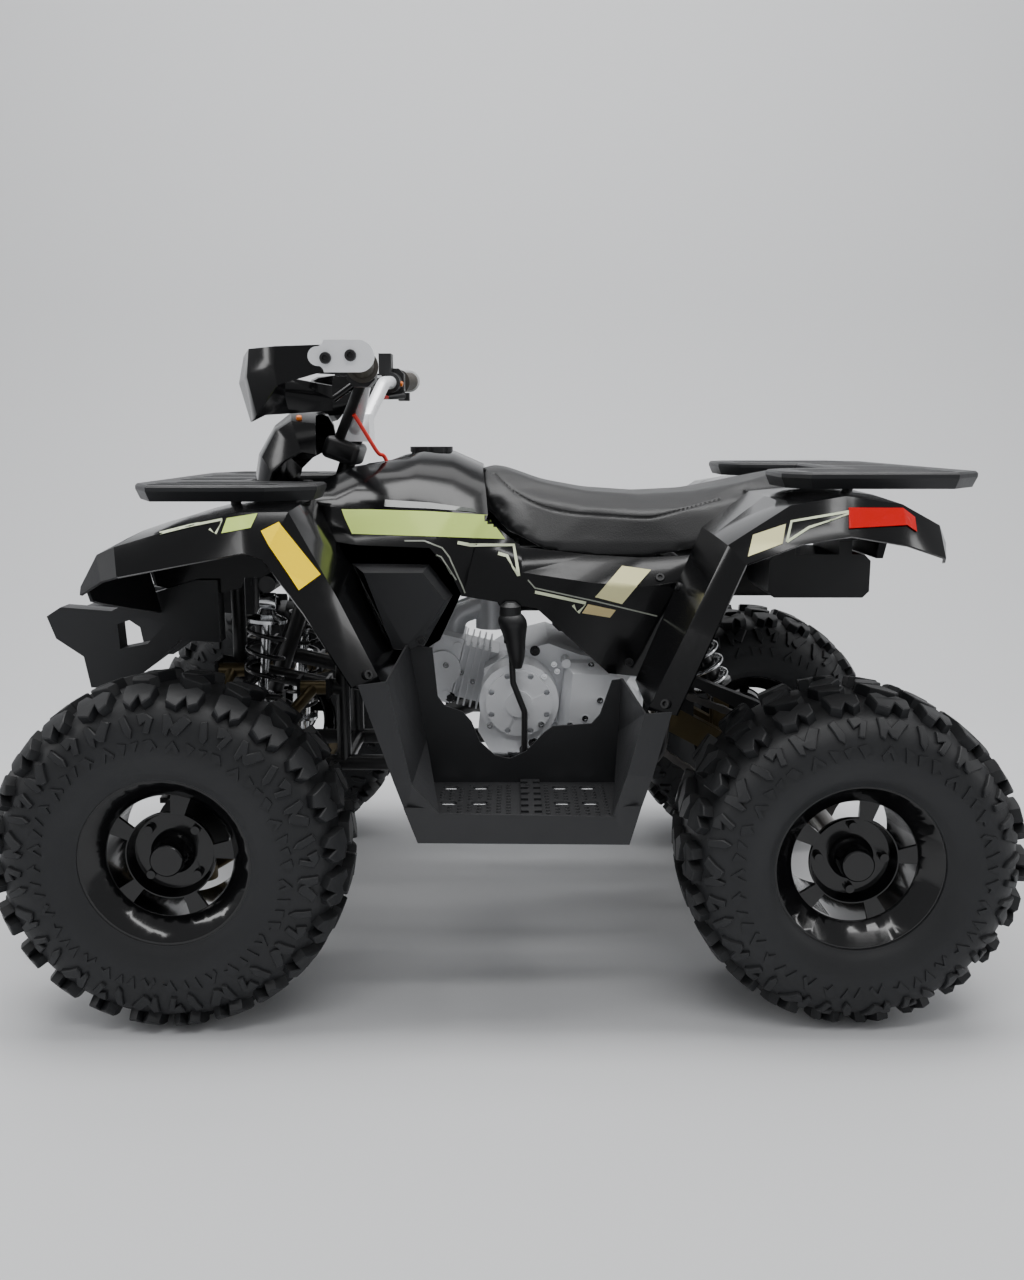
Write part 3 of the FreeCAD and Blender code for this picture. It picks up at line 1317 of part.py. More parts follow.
def chain():
    # A flat loop round both sprockets; its edges bulge at each roller.
    big = Vec(rear_axle_x, 0, axle_height)
    small = Vec(drive_x, 0, drive_z)
    slope = (big - small).normalize()
    across = Vec(-slope.z, 0, slope.x)
    lean_in = acos((drive_radius - sprocket_radius) / (big - small).Length)

    def edge(centre, radius, angle, grow):
        normal = slope * cos(angle) + across * sin(angle)
        return Vec(centre.x, -chain_y - chain_width / 2, centre.z) + normal * (radius + grow)

    def bent(centre, radius, first, last, grow):
        count = max(int(abs(last - first) * radius / (chain_pitch * 2)), 4)
        return [edge(centre, radius, first + (last - first) * k / count, grow) for k in range(count + 1)]

    def outline(grow):
        corner_points = (bent(big, sprocket_radius, lean_in, -lean_in, grow)
                         + bent(small, drive_radius, -lean_in, lean_in - 2 * pi, grow))
        points = []
        for first, last in zip(corner_points, corner_points[1:] + corner_points[:1]):
            links = max(int((last - first).Length / (chain_pitch * 2)), 1)
            for k in range(links):
                start = first + (last - first) * (k / links)
                waist = first + (last - first) * ((k + 1 / 2) / links)
                inward = (last - first).cross(along_y).normalize()
                points += [start, waist - inward * (chain_bulge if grow > 0 else -chain_bulge)]
        return points

    outer = prism(outline(chain_half_height), along_y * chain_width)
    inner = prism(outline(-chain_half_height), along_y * chain_width)
    return trimmed(outer.cut(inner), engine_case())



# Chain guard

guard_wall = 3.0
guard_strip_shares = [(0.125, 0), (0.17, 0.3), (0.29, 0.3)]  # along the run, and lift
guard_wide = 26.0
guard_gap = 24.0  # over the chain's upper run


def chain_guard():
    # A bent strip over the chain's upper run, with an ear on the swingarm.
    slope = (Vec(rear_axle_x, 0, axle_height + sprocket_radius) - Vec(drive_x, 0, drive_z + drive_radius)).normalize()
    start = Vec(drive_x, 0, drive_z + drive_radius)
    shift = chain_half_height + guard_gap
    points = []
    for share, lift in guard_strip_shares:
        points.append(start + slope * wheelbase * share + along_z * (shift + lift * guard_gap))
    points += [p + along_z * guard_wall for p in reversed(points)]
    low = -chain_y - guard_wide / 2
    strip = prism([Vec(p.x, low, p.z) for p in points], along_y * guard_wide)
    side = [points[0], points[1], points[2], points[2] - along_z * guard_wide, points[1] - along_z * guard_wide / 2,
            points[0] - along_z * guard_wide / 2]
    skirt = prism([Vec(p.x, low, p.z) for p in side], along_y * guard_wall)
    at = start + slope * (wheelbase / 6) + along_z * shift
    ear_top = at.z + guard_wall / 2
    ear = prism([Vec(x, -chain_y + guard_wide / 2 - guard_wall, z) for x, z in (
        (at.x - guard_wide, swing_line(at.x)), (at.x, swing_line(at.x)), (at.x, ear_top),
        (at.x - guard_wide, ear_top - guard_wide * slope.z / slope.x))], along_y * guard_wall)
    foot = box(Vec(at.x - guard_wide, -chain_y + guard_wide / 2 - guard_wall, swing_line(at.x) - guard_wall),
               Vec(at.x, -swing_arm_y, swing_line(at.x) + guard_wall))
    return trimmed(joined([strip, skirt, ear, foot]), swingarm())


# Engine: cases, covers, cylinder and head

case_half = 105.0
crank_behind = 464.0  # behind the front axle
crank = Vec(front_axle_x + crank_behind, 0, drive_z)
magneto_radius = 60.0
magneto_reach = 180.0
magneto_step = 8.0
magneto_ring = 10.0
rim_notches = 8
notch_width = 9.0
clutch_radius = 64.0
clutch_reach = 145.0
cover_reach = 152.0
bolt_boss = 7.0
case_length = 262.0
case_front = 395.0  # behind the front axle
case_base = 255.0
case_height = 215.0
case_shares = [(0.019, 0, 0.349), (0.095, 0, 0.191), (0.782, 0, 0.172), (0.958, 0, 0.293),
    (0.992, 0, 0.674), (0.935, 0, 0.86), (0.63, 0, 0.916), (0.439, 0, 1), (0.21, 0, 0.93),
    (0.057, 0, 0.814)]
sump_shares = [(0.134, 0, 0.209), (0.21, 0, 0.005), (0.744, 0, 0.005), (0.821, 0, 0.209)]
drive_cover_shares = [(0.485, 0, 0.386), (0.935, 0, 0.349), (0.985, 0, 0.442), (0.996, 0, 0.684),
    (0.935, 0, 0.823), (0.821, 0, 0.879), (0.538, 0, 0.888)]
drive_face_shares = [(0.553, 0, 0.433), (0.897, 0, 0.405), (0.935, 0, 0.488), (0.943, 0, 0.656),
    (0.889, 0, 0.767), (0.79, 0, 0.814), (0.576, 0, 0.823)]
sump_half = 70.0
mount_width = 24.0


def case_points(shares, level):
    start = Vec(front_axle_x + case_front, 0, case_base)
    return flat([(a, c) for a, _, c in shares], start, Vec(case_length, 0, case_height), level)


@cache
def engine_case():
    body = prism(case_points(case_shares, -case_half), along_y * case_half * 2)
    sump = prism(case_points(sump_shares, -sump_half), along_y * sump_half * 2)
    left = Vec(crank.x, -case_half, crank.z)
    flank = rod(left, Vec(left.x, -magneto_reach + magneto_step, left.z), magneto_radius)
    face = rod(left, Vec(left.x, -magneto_reach, left.z), magneto_radius - magneto_ring)
    boss = rod(left, Vec(left.x, -magneto_reach - magneto_step / 2, left.z), magneto_radius / 3)
    notches = []
    for k in range(rim_notches):
        angle = 2 * pi * (k + 1 / 2) / rim_notches
        out = Vec(sin(angle), 0, cos(angle))
        at = Vec(left.x, -magneto_reach + magneto_step, left.z) + out * (magneto_radius - magneto_ring * 3 / 2)
        notches.append(rod(at - along_y * magneto_step * 2, at + along_y * magneto_step / 2, notch_width / 2))
    magneto = joined([flank, face, boss]).cut(notches[0].multiFuse(notches[1:]))
    drive = hulled([case_points(drive_cover_shares, -case_half), case_points(drive_cover_shares, -cover_reach + magneto_step * 2),
                    case_points(drive_face_shares, -cover_reach)])
    right = Vec(crank.x + magneto_radius / 2, case_half, crank.z - magneto_step)
    clutch = rod(right, Vec(right.x, clutch_reach - magneto_step, right.z), clutch_radius)
    clutch_face = rod(right, Vec(right.x, clutch_reach, right.z), clutch_radius - magneto_ring)
    rear = Vec(right.x + clutch_radius * 3 / 2, case_half, crank.z)
    gear = rod(rear, Vec(rear.x, clutch_reach - magneto_step * 2, rear.z), clutch_radius * 2 / 3)
    bosses = []
    for k, point in enumerate(case_points(drive_cover_shares, 0)):
        bosses.append(rod(Vec(point.x, -case_half, point.z), Vec(point.x, -cover_reach + magneto_step, point.z), bolt_boss))
    for k in range(rim_notches):
        angle = 2 * pi * k / rim_notches
        at = right + Vec(sin(angle), 0, cos(angle)) * clutch_radius
        bosses.append(rod(at, Vec(at.x, clutch_reach - magneto_step, at.z), bolt_boss))
    mounts = []
    for x in (crank.x - magneto_radius / 2, crank.x + magneto_radius * 5 / 2):
        for side in (-1, 1):
            mounts.append(box(Vec(x - mount_width / 2, min(side * rail_y * 0.9, side * sump_half), rail_z),
                              Vec(x + mount_width / 2, max(side * rail_y * 0.9, side * sump_half), case_base + magneto_radius)))
    return trimmed(joined([body, sump, magneto, drive, clutch, clutch_face, gear] + bosses + mounts), frame())


cylinder_tilt = 14.0  # degrees that the cylinder points up from level
barrel_start = 40.0
barrel_length = 62.0
barrel_half = 52.0
head_length = 46.0
head_half = 58.0
fin_count = 6
fin_wall = 2.6
cylinder_half_y = 62.0


def on_cylinder(reach, lift, y=0):
    angle = radians(cylinder_tilt)
    along = Vec(-cos(angle), 0, sin(angle))
    up = Vec(sin(angle), 0, cos(angle))
    return Vec(crank.x, y, crank.z) + along * (barrel_start + reach) + up * lift


def cylinder_block(start, end, half, half_y):
    ring = [on_cylinder(a, b * half, -half_y) for a, b in ((start, -1), (end, -1), (end, 1), (start, 1))]
    return prism(ring, along_y * half_y * 2)


@cache
def engine_cylinder():
    barrel = cylinder_block(0, barrel_length, barrel_half * 0.82, cylinder_half_y * 0.82)
    pitch = barrel_length / fin_count
    fins = [cylinder_block(pitch * (k + 1 / 2) - fin_wall / 2 + pitch / 4, pitch * (k + 1 / 2) + fin_wall / 2 + pitch / 4,
                           barrel_half, cylinder_half_y) for k in range(1, fin_count)]
    head = cylinder_block(barrel_length, barrel_length + head_length, head_half * 0.92, cylinder_half_y)
    cover = cylinder_block(barrel_length + head_length, barrel_length + head_length + magneto_step * 2,
                           head_half * 0.7, cylinder_half_y * 0.8)
    round_cap = rod(on_cylinder(barrel_length + head_length / 2, 0, -cylinder_half_y),
                    on_cylinder(barrel_length + head_length / 2, 0, -cylinder_half_y - magneto_step), head_half / 2)
    bosses = []
    for a in (magneto_step, head_length - magneto_step):
        for b in (-1, 1):
            first = on_cylinder(barrel_length + a, b * head_half * 0.7, -cylinder_half_y)
            bosses.append(rod(first, first - along_y * magneto_step / 2, bolt_boss))
    start = on_cylinder(barrel_length + head_length / 2, head_half * 0.9)
    elbow = on_cylinder(barrel_length + head_length / 2, head_half * 1.4)
    intake = tube([start, elbow, Vec(elbow.x + head_half * 1.4, 0, elbow.z + head_half * 0.5)], head_half / 3,
                  head_half / 2)
    bowl = rod(Vec(elbow.x + head_half, 0, elbow.z - head_half * 0.4),
               Vec(elbow.x + head_half, 0, elbow.z + head_half * 0.8), head_half * 0.45)
    return trimmed(joined([barrel, head, cover, round_cap, intake, bowl] + fins + bosses), engine_case(), frame())


# Air box over the engine, with its rubber boot, and the battery box under the tail

air_box_behind = 517.0  # behind the front axle
air_box_base = 484.0
air_box_length = 150.0
air_box_width = 144.0
air_box_height = 92.0
air_box_low = Vec(front_axle_x + air_box_behind, -air_box_width / 2, air_box_base)
air_box_size = Vec(air_box_length, air_box_width, air_box_height)
box_edge = 10.0
tail_box_ahead = 56.0  # of the rear axle
tail_box_base = 538.0
tail_box_length = 158.0
tail_box_width = 156.0
tail_box_height = 68.0
tail_box_low = Vec(rear_axle_x - tail_box_ahead, -tail_box_width / 2, tail_box_base)
tail_box_size = Vec(tail_box_length, tail_box_width, tail_box_height)


def soft_box(low, size, edge):
    solid = box(low, low + size)
    return solid.makeChamfer(edge, [e for e in solid.Edges if abs(e.tangentAt(e.FirstParameter).y) > 1 / 2])


def air_box():
    body = soft_box(air_box_low, air_box_size, box_edge)
    elbow = on_cylinder(barrel_length + head_length / 2, head_half * 1.4)
    mouth = Vec(elbow.x + head_half * 1.4, 0, elbow.z + head_half * 0.5)
    boot = tube([mouth - Vec(head_half / 3, 0, head_half * 0.1), Vec(mouth.x + head_half / 2, 0, mouth.z),
                 Vec(air_box_low.x + box_edge, 0, air_box_low.z + air_box_size.z / 2)], head_half * 0.42, head_half / 3)
    post = rod(Vec(air_box_low.x + air_box_size.x - box_edge * 2, 0, air_box_low.z),
               Vec(air_box_low.x + air_box_size.x - box_edge * 2, 0, case_base + case_height * 0.7), box_edge)
    return trimmed(joined([body, boot, post]), engine_case(), engine_cylinder(), frame())


def tail_box():
    body = soft_box(tail_box_low, tail_box_size, box_edge)
    ears = [box(Vec(x, -tail_box_size.y / 2, tail_box_low.z + tail_box_size.z - box_edge),
                Vec(x + box_edge * 2, tail_box_size.y / 2, tail_rail_z)) for x in
            (tail_box_low.x + box_edge * 2, tail_box_low.x + tail_box_size.x - box_edge * 5)]
    for ear in list(ears):
        spread = box(Vec(ear.BoundBox.XMin, -rail_y, tail_rail_z - box_edge), Vec(ear.BoundBox.XMax, rail_y, tail_rail_z))
        ears.append(spread)
    return trimmed(joined([body] + ears), frame())


# Exhaust: a header that runs back on the right, and a muffler under the right rear fender

header_radius = 14.0
header_y = 160.0
header_bend = 40.0
muffler_radius = 44.0
muffler_y = 160.0
muffler_z = 552.0
muffler_front = 130.0  # ahead of the rear axle
muffler_length = 225.0
muffler_cone = 30.0
tail_pipe_radius = 12.0


def exhaust():
    port = on_cylinder(barrel_length + head_length / 2, -head_half * 0.85)
    front = rear_axle_x - muffler_front
    path = [port, port + Vec(-head_half / 3, 0, -head_half * 0.9),
            Vec(port.x + head_half, header_y, rail_z + frame_tube + header_radius * 2),
            Vec(swing_pivot_x + header_radius, header_y, rail_z + frame_tube + header_radius * 2),
            Vec(front - muffler_cone, muffler_y, muffler_z), Vec(front + muffler_cone, muffler_y, muffler_z)]
    header = tube(path, header_radius, header_bend * 0.6)
    body = spun([(0, 0), (header_radius, 0), (muffler_radius, muffler_cone),
                 (muffler_radius, muffler_length - muffler_cone / 2), (muffler_radius - muffler_cone / 3, muffler_length),
                 (0, muffler_length)], Vec(front, muffler_y, muffler_z), along_x)
    end = Vec(front + muffler_length, muffler_y, muffler_z)
    outlet = rod(end, end + along_x * muffler_cone, tail_pipe_radius)
    outlet = outlet.cut(rod(end, end + along_x * muffler_cone * 2, tail_pipe_radius - fin_wall))
    hanger = box(Vec(rear_axle_x - muffler_cone / 2, rail_y, tail_rail_z - frame_tube / 2),
                 Vec(rear_axle_x + muffler_cone / 2, muffler_y, tail_rail_z + frame_tube / 2))
    drop = box(Vec(rear_axle_x - muffler_cone / 2, muffler_y - frame_tube, muffler_z),
               Vec(rear_axle_x + muffler_cone / 2, muffler_y, tail_rail_z + frame_tube / 2))
    return trimmed(joined([header, body, outlet, hanger, drop]), frame(), engine_cylinder(), engine_case())


# Handlebar, with the silver brackets that carry the hand guards

bar_radius = 11.1
bar_bend = 30.0
bar_half = 362.0
bar_sweep = 28.0  # back from the clamp to the shoulder
bar_lift = 75.0
grip_sweep = 50.0  # back from the clamp to the bar's end
grip_lift = 88.0
bar_rise = Vec(bar_sweep, 0, bar_lift)
bar_end = Vec(grip_sweep, 0, grip_lift)
bar_straight = 44.0
bar_shoulder = 122.0
grip_length = 118.0
grip_radius = 16.5
grip_flange = 22.0
grip_ridges = 9
grip_groove = 1.5
clamp_half = 34.0
clamp_reach = 21.0
bracket_wall = 5.0
bracket_half = 20.0
bracket_length = 52.0
guard_mount_y = 150.0


def bar_points():
    return [Vec(bar_centre.x, 0, bar_centre.z), Vec(bar_centre.x, -bar_straight, bar_centre.z),
            bar_centre + bar_rise - along_y * bar_shoulder, bar_centre + bar_end - along_y * bar_half]


@cache
def handlebar():
    half = tube(bar_points(), bar_radius, bar_bend)
    end = bar_points()[-1]
    plate = box(Vec(end.x - bracket_length, -bar_half - bracket_wall, end.z - bracket_half),
                Vec(end.x, -bar_half, end.z + bracket_half))
    round_end = rod(Vec(end.x, -bar_half - bracket_wall, end.z), Vec(end.x, -bar_half, end.z), bracket_half)
    front = Vec(end.x - bracket_length, -bar_half, end.z)
    front_end = rod(Vec(front.x, -bar_half - bracket_wall, front.z), front, bracket_half * 3 / 5)
    bites = [rod(Vec(front.x, -bar_half - bracket_wall * 2, front.z + s * bracket_half),
                 Vec(front.x, -bar_half + bracket_wall, front.z + s * bracket_half), bracket_half * 2 / 5) for s in (-1, 1)]
    plate = plate.cut(bites[0].fuse(bites[1]))
    arm = box(Vec(front.x - bracket_half / 2, -bar_half, front.z - bracket_half / 2),
              Vec(front.x + bracket_wall, -bar_half + bracket_half, front.z + bracket_half / 2))
    side = joined([half, plate, round_end, front_end, arm])
    clamp = box(Vec(bar_centre.x - clamp_reach, -clamp_half, bar_centre.z - clamp_reach),
                Vec(bar_centre.x + clamp_reach, clamp_half, bar_centre.z + clamp_reach))
    return trimmed(joined([side, mirrored(side), clamp]), steering_column())


@cache
def grips():
    first, last = bar_points()[-2:]
    along = (last - first).normalize()
    start = last - along * grip_length
    pitch = grip_length / (grip_ridges + 1)
    profile = [(bar_radius, 0), (grip_flange, 0), (grip_flange, pitch / 2), (grip_radius, pitch / 2)]
    for k in range(1, grip_ridges + 1):
        profile += [(grip_radius, pitch * k), (grip_radius - grip_groove, pitch * (k + 1 / 4)),
                    (grip_radius, pitch * (k + 1 / 2))]
    profile += [(grip_radius, grip_length - bracket_wall / 4), (bar_radius, grip_length - bracket_wall / 4)]
    return pair(trimmed(spun(profile, start, along), handlebar()))


# Levers, their perches, the switch box, the throttle housing and the pod over the bar clamp

perch_length = 24.0
perch_radius = 17.0
lever_length = 120.0
lever_wall = 7.0
lever_ahead = 62.0
switch_length = 44.0
switch_size = 48.0
pod_low = 487.0
pod_high = 522.0
pod_front = 38.0
pod_rear = 18.0
pod_half = 52.0
pod_edge = 9.0
strut_radius = 8.0


def at_bar(distance):
    # A place on the bar's outer run, so far in from its end.
    first, last = bar_points()[-2:]
    along = (last - first).normalize()
    return last - along * distance, along


def lever_side():
    inner, along = at_bar(grip_length + switch_length + perch_length)
    outer = inner + along * perch_length
    perch = rod(inner, outer, perch_radius)
    middle = inner + along * perch_length / 2
    pivot = middle + Vec(-lever_ahead / 2, 0, 0)
    knuckle_block = box(pivot + Vec(-perch_radius / 2, -perch_length / 2, -lever_wall),
                        middle + Vec(0, perch_length / 2, lever_wall))
    lever = tube([pivot, pivot + Vec(-lever_ahead / 2, -perch_length, 0), pivot + Vec(-lever_ahead / 3, -lever_length, 0)],
                 lever_wall * 0.7, perch_length / 2)
    tip = pivot + Vec(-lever_ahead / 3, -lever_length, 0)
    ball = Part.makeSphere(lever_wall * 1.1, tip)
    return joined([perch, knuckle_block, lever, ball])


@cache
def controls():
    side = lever_side()
    inner, along = at_bar(grip_length + switch_length)
    outer = inner + along * (switch_length - grip_flange / 2)
    half = switch_size / 2
    switch = box(Vec(inner.x - half * 0.8, outer.y, inner.z - half), Vec(inner.x + half * 0.8, inner.y, inner.z + half))
    switch = switch.makeChamfer(pod_edge, [e for e in switch.Edges if abs(e.tangentAt(e.FirstParameter).y) > 1 / 2])
    thumb = box(Vec(inner.x + half * 0.3, outer.y - perch_length / 3, inner.z - half - lever_wall),
                Vec(inner.x + half * 1.1, outer.y + perch_length / 2, inner.z - half + lever_wall))
    reservoir = box(Vec(inner.x - half * 0.9, inner.y - perch_length / 2, inner.z + half * 0.5),
                    Vec(inner.x, inner.y + perch_length, inner.z + half * 2))
    right = [mirrored(switch), mirrored(thumb), mirrored(reservoir)]
    ring = [on_column(pod_low) - column_square * pod_front + along_y * -pod_half,
            on_column(pod_low) + column_square * pod_rear + along_y * -pod_half,
            on_column(pod_high) + column_square * pod_rear + along_y * -pod_half,
            on_column(pod_high) - column_square * pod_front + along_y * -pod_half]
    pod = prism(ring, along_y * pod_half * 2)
    pod = pod.makeFillet(pod_edge, pod.Edges)
    low, _ = at_bar(bar_half - guard_mount_y)
    strut = rod(low, on_column(pod_high) - column_square * pod_front / 2 - along_y * (pod_half - strut_radius * 2), strut_radius)
    whole = [side, mirrored(side), switch, pod, strut] + right
    return Part.makeCompound([trimmed(piece, handlebar(), steering_column(), grips()) for piece in [joined(whole)]])


# Hand guards: faceted shields in front of the grips

guard_ahead = 50.0  # the guards start this far behind the front axle
guard_length = 230.0
guard_depth = 250.0
guard_drop = 4.7  # under the middle of the bar's clamp
guard_base = bar_centre.z - guard_drop
guard_height = 110.0
guard_sheet = 3.5
guard_stay = 5.0
guard_shares = [
    [(0.696, 0, 0.664), (0.704, 0, 0.827), (0.696, 0, 0.973)],
    [(0.435, -0.016, 0.518), (0.417, -0.016, 0.736), (0.435, -0.008, 0.955)],
    [(0.209, 0.064, 0.155), (0.174, 0.08, 0.609), (0.226, 0.064, 0.936)],
    [(0.052, 0.288, 0.045), (0.017, 0.328, 0.555), (0.113, 0.288, 0.882)],
    [(0.087, 0.608, 0.155), (0.035, 0.628, 0.518), (0.122, 0.592, 0.809)],
    [(0.239, 0.848, 0.2), (0.217, 0.864, 0.44), (0.252, 0.848, 0.7)],
    [(0.6, 0.936, 0.264), (0.6, 0.952, 0.42), (0.6, 0.936, 0.6)],
]


def guard():
    start = Vec(front_axle_x + guard_ahead, -bar_half, guard_base)
    size = Vec(guard_length, guard_depth, guard_height)
    rows = [placed(row, start, size) for row in guard_shares]
    end = rows[-1][1]
    on_bar, _ = at_bar(bar_half + end.y)
    stay = rod(on_bar, end + along_x * guard_sheet / 2, guard_stay)
    return joined([sheet(rows, guard_sheet), stay])


def handguards():
    return pair(trimmed(guard(), handlebar(), controls()))


# Gear lever on the left of the engine, brake pedal on the right

lever_y = 206.0
lever_foot_x = 21.0
lever_behind = 8.0  # its foot, behind the crank
lever_foot_z = 300.0
lever_reach = 210.0
knob_radius = 16.0
knob_height = 60.0
shaft_radius = 4.5
shaft_bend = 14.0
shift_shares = [(0, 0, 0), (0, 0, 0.41), (-0.81, 0, 0.619), (-1, 0, 1)]


def shift_lever():
    foot = Vec(crank.x + lever_behind, -lever_y, lever_foot_z)
    points = [foot + Vec(a * lever_foot_x, 0, c * lever_reach) for a, _, c in shift_shares]
    shaft = tube(points, shaft_radius, shaft_bend)
    top = points[-1]
    knob = spun([(0, 0), (knob_radius * 0.6, 0), (knob_radius * 0.62, knob_height * 0.45),
                 (knob_radius, knob_height * 0.7), (knob_radius * 0.95, knob_height * 0.9),
                 (knob_radius * 0.5, knob_height), (0, knob_height)],
                top - along_z * knob_height / 3, along_z)
    cross = rod(foot, Vec(foot.x, -rail_y, foot.z), shaft_radius * 3 / 2)
    lug_block = box(Vec(foot.x - pivot_radius, -rail_y - tab_wall, rail_z),
                    Vec(foot.x + pivot_radius, -rail_y, foot.z + pivot_radius))
    return trimmed(joined([shaft, knob, cross, lug_block]), frame(), engine_case())


pedal_front = 42.0  # ahead of the crank
pedal_z = 346.0
pedal_y = 262.0
pedal_ahead = 48.0
pad_length = 34.0
pad_width = 62.0
pad_wall = 7.0
pedal_pad = Vec(pad_length, pad_width, pad_wall)
pedal_radius = 6.0


def brake_pedal():
    pedal_x = crank.x - pedal_front
    root = Vec(pedal_x, case_half, pedal_z)
    elbow = Vec(pedal_x, pedal_y, pedal_z)
    toe = Vec(pedal_x - pedal_ahead, pedal_y + pedal_pad.y / 5, pedal_z - pedal_pad.x)
    arm = tube([root, elbow, toe], pedal_radius, pedal_radius * 4)
    collar = rod(root, root + along_y * pedal_radius * 2, pedal_radius * 2)
    pad = box(toe - Vec(pedal_pad.x / 2, pedal_pad.y / 2, 0), toe + Vec(pedal_pad.x / 2, pedal_pad.y / 2, pedal_pad.z))
    return trimmed(joined([arm, collar, pad]), engine_case())



# Everything above, written out piece by piece

def write_all():
    os.makedirs("parts", exist_ok=True)
    knuckle_left = knuckle()
    tyre_front = front_wheel(tyre(front_tyre_radius, front_tyre_width))
    rim_front = front_wheel(rim(front_tyre_radius, front_tyre_width, front_disc_at, front_bolt_circle, bolt_count, front_stud_turn, bore_radius,
                                front_barrel_drop))
    tyre_rear = rear_wheel(tyre(rear_tyre_radius, rear_tyre_width))
    rim_rear = rear_wheel(rim(rear_tyre_radius, rear_tyre_width, rear_disc_at, rear_bolt_circle, bolt_count, 0, axle_radius,
                              rear_barrel_drop))
    left_well = footwell()
    pieces = {
        "frame": frame(),
        "engine_case": engine_case(),
        "engine_cylinder": engine_cylinder(),
        "exhaust": exhaust(),
        "air_box": air_box(),
        "tail_box": tail_box(),
        "front_body": front_body(),
        "fender_tips": fender_tips(),
        "cowl": cowl(),
        "tank_cover": tank_cover(),
        "fuel_cap": fuel_cap(),
        "side_panels": side_panels(),
        "knee_covers": knee_covers(),
        "seat": seat(),
        "rear_body": rear_body(),
        "front_rack": front_rack(),
        "rear_rack": rear_rack(),
        "bumper": bumper(),
        "footwell_left": left_well,
        "footwell_right": mirrored(left_well),
        "headlights": headlights(),
        "taillight": taillight(),
        "reflectors_front": reflectors_front(),
        "reflectors_rear": reflectors_rear(),
        "a_arms": a_arms(),
        "front_shocks": front_shocks(),
        "swingarm": swingarm(),
        "rear_shock": rear_shock(),
        "chain": chain(),
        "chain_guard": chain_guard(),
        "shift_lever": shift_lever(),
        "brake_pedal": brake_pedal(),
        "steering_column": steering_column(),
        "handlebar": handlebar(),
        "grips": grips(),
        "controls": controls(),
        "handguards": handguards(),
        "knuckle_left": knuckle_left,
        "knuckle_right": mirrored(knuckle_left),
        "tie_rod_left": tie_rod(-1),
        "tie_rod_right": tie_rod(1),
        "tyre_front_left": tyre_front,
        "tyre_front_right": mirrored(tyre_front),
        "rim_front_left": rim_front,
        "rim_front_right": mirrored(rim_front),
        "rear_axle": rear_axle(),
        "rear_tyres": pair(tyre_rear),
        "rear_rims": pair(rim_rear),
    }
    for name, shape in pieces.items():
        shape.exportStep("parts/" + name + ".step")


write_all()
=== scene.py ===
import json
from math import cos, pi, radians, sin

import bmesh
import bpy
from mathutils import Euler, Matrix, Vector
from mathutils.geometry import intersect_point_line
from mathutils.bvhtree import BVHTree


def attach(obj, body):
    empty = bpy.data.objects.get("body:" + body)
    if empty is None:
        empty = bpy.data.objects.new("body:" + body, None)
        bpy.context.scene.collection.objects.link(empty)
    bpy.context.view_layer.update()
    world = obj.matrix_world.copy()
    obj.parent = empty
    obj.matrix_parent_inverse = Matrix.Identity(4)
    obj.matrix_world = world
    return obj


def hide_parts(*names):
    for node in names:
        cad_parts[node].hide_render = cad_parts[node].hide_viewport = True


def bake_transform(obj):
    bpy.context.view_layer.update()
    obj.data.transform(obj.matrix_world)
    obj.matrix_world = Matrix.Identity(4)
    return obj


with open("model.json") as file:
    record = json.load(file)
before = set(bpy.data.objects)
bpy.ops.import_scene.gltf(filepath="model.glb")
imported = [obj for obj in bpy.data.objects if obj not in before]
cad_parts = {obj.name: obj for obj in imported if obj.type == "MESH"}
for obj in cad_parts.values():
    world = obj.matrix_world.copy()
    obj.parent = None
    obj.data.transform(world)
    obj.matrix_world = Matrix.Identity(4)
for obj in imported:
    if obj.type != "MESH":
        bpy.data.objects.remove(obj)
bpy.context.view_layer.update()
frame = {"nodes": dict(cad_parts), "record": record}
nodes = frame["nodes"]
bodyOf = {node: body for body, members in frame["record"]["behaviour"]["bodies"].items() for node in members}
print("stage: frame loaded,", len(nodes), "nodes")


# Camera at the photograph's place, and the studio round it

cameraSet = {
    "place": (0.0034, -1.849, 0.793),
    "tiltDown": 0.18,
    "lens": 32.11,
    "sensor": 36.0,
    "frame": (1024, 1280),
}
camData = bpy.data.cameras.new("photoCamera")
camData.lens = cameraSet["lens"]
camData.sensor_width = cameraSet["sensor"]
camera = bpy.data.objects.new("photoCamera", camData)
camera.location = cameraSet["place"]
camera.rotation_euler = Euler((pi / 2 - cameraSet["tiltDown"], 0, 0))
bpy.context.scene.collection.objects.link(camera)
bpy.context.scene.camera = camera


def sightLine(px, py):
    # Direction from the camera through a place in the photograph
    wide, tall = cameraSet["frame"]
    reach = cameraSet["lens"] / cameraSet["sensor"] * max(wide, tall)
    ray = Vector(((px - wide / 2) / reach, -(py - tall / 2) / reach, -1))
    return (camera.rotation_euler.to_matrix() @ ray).normalized()


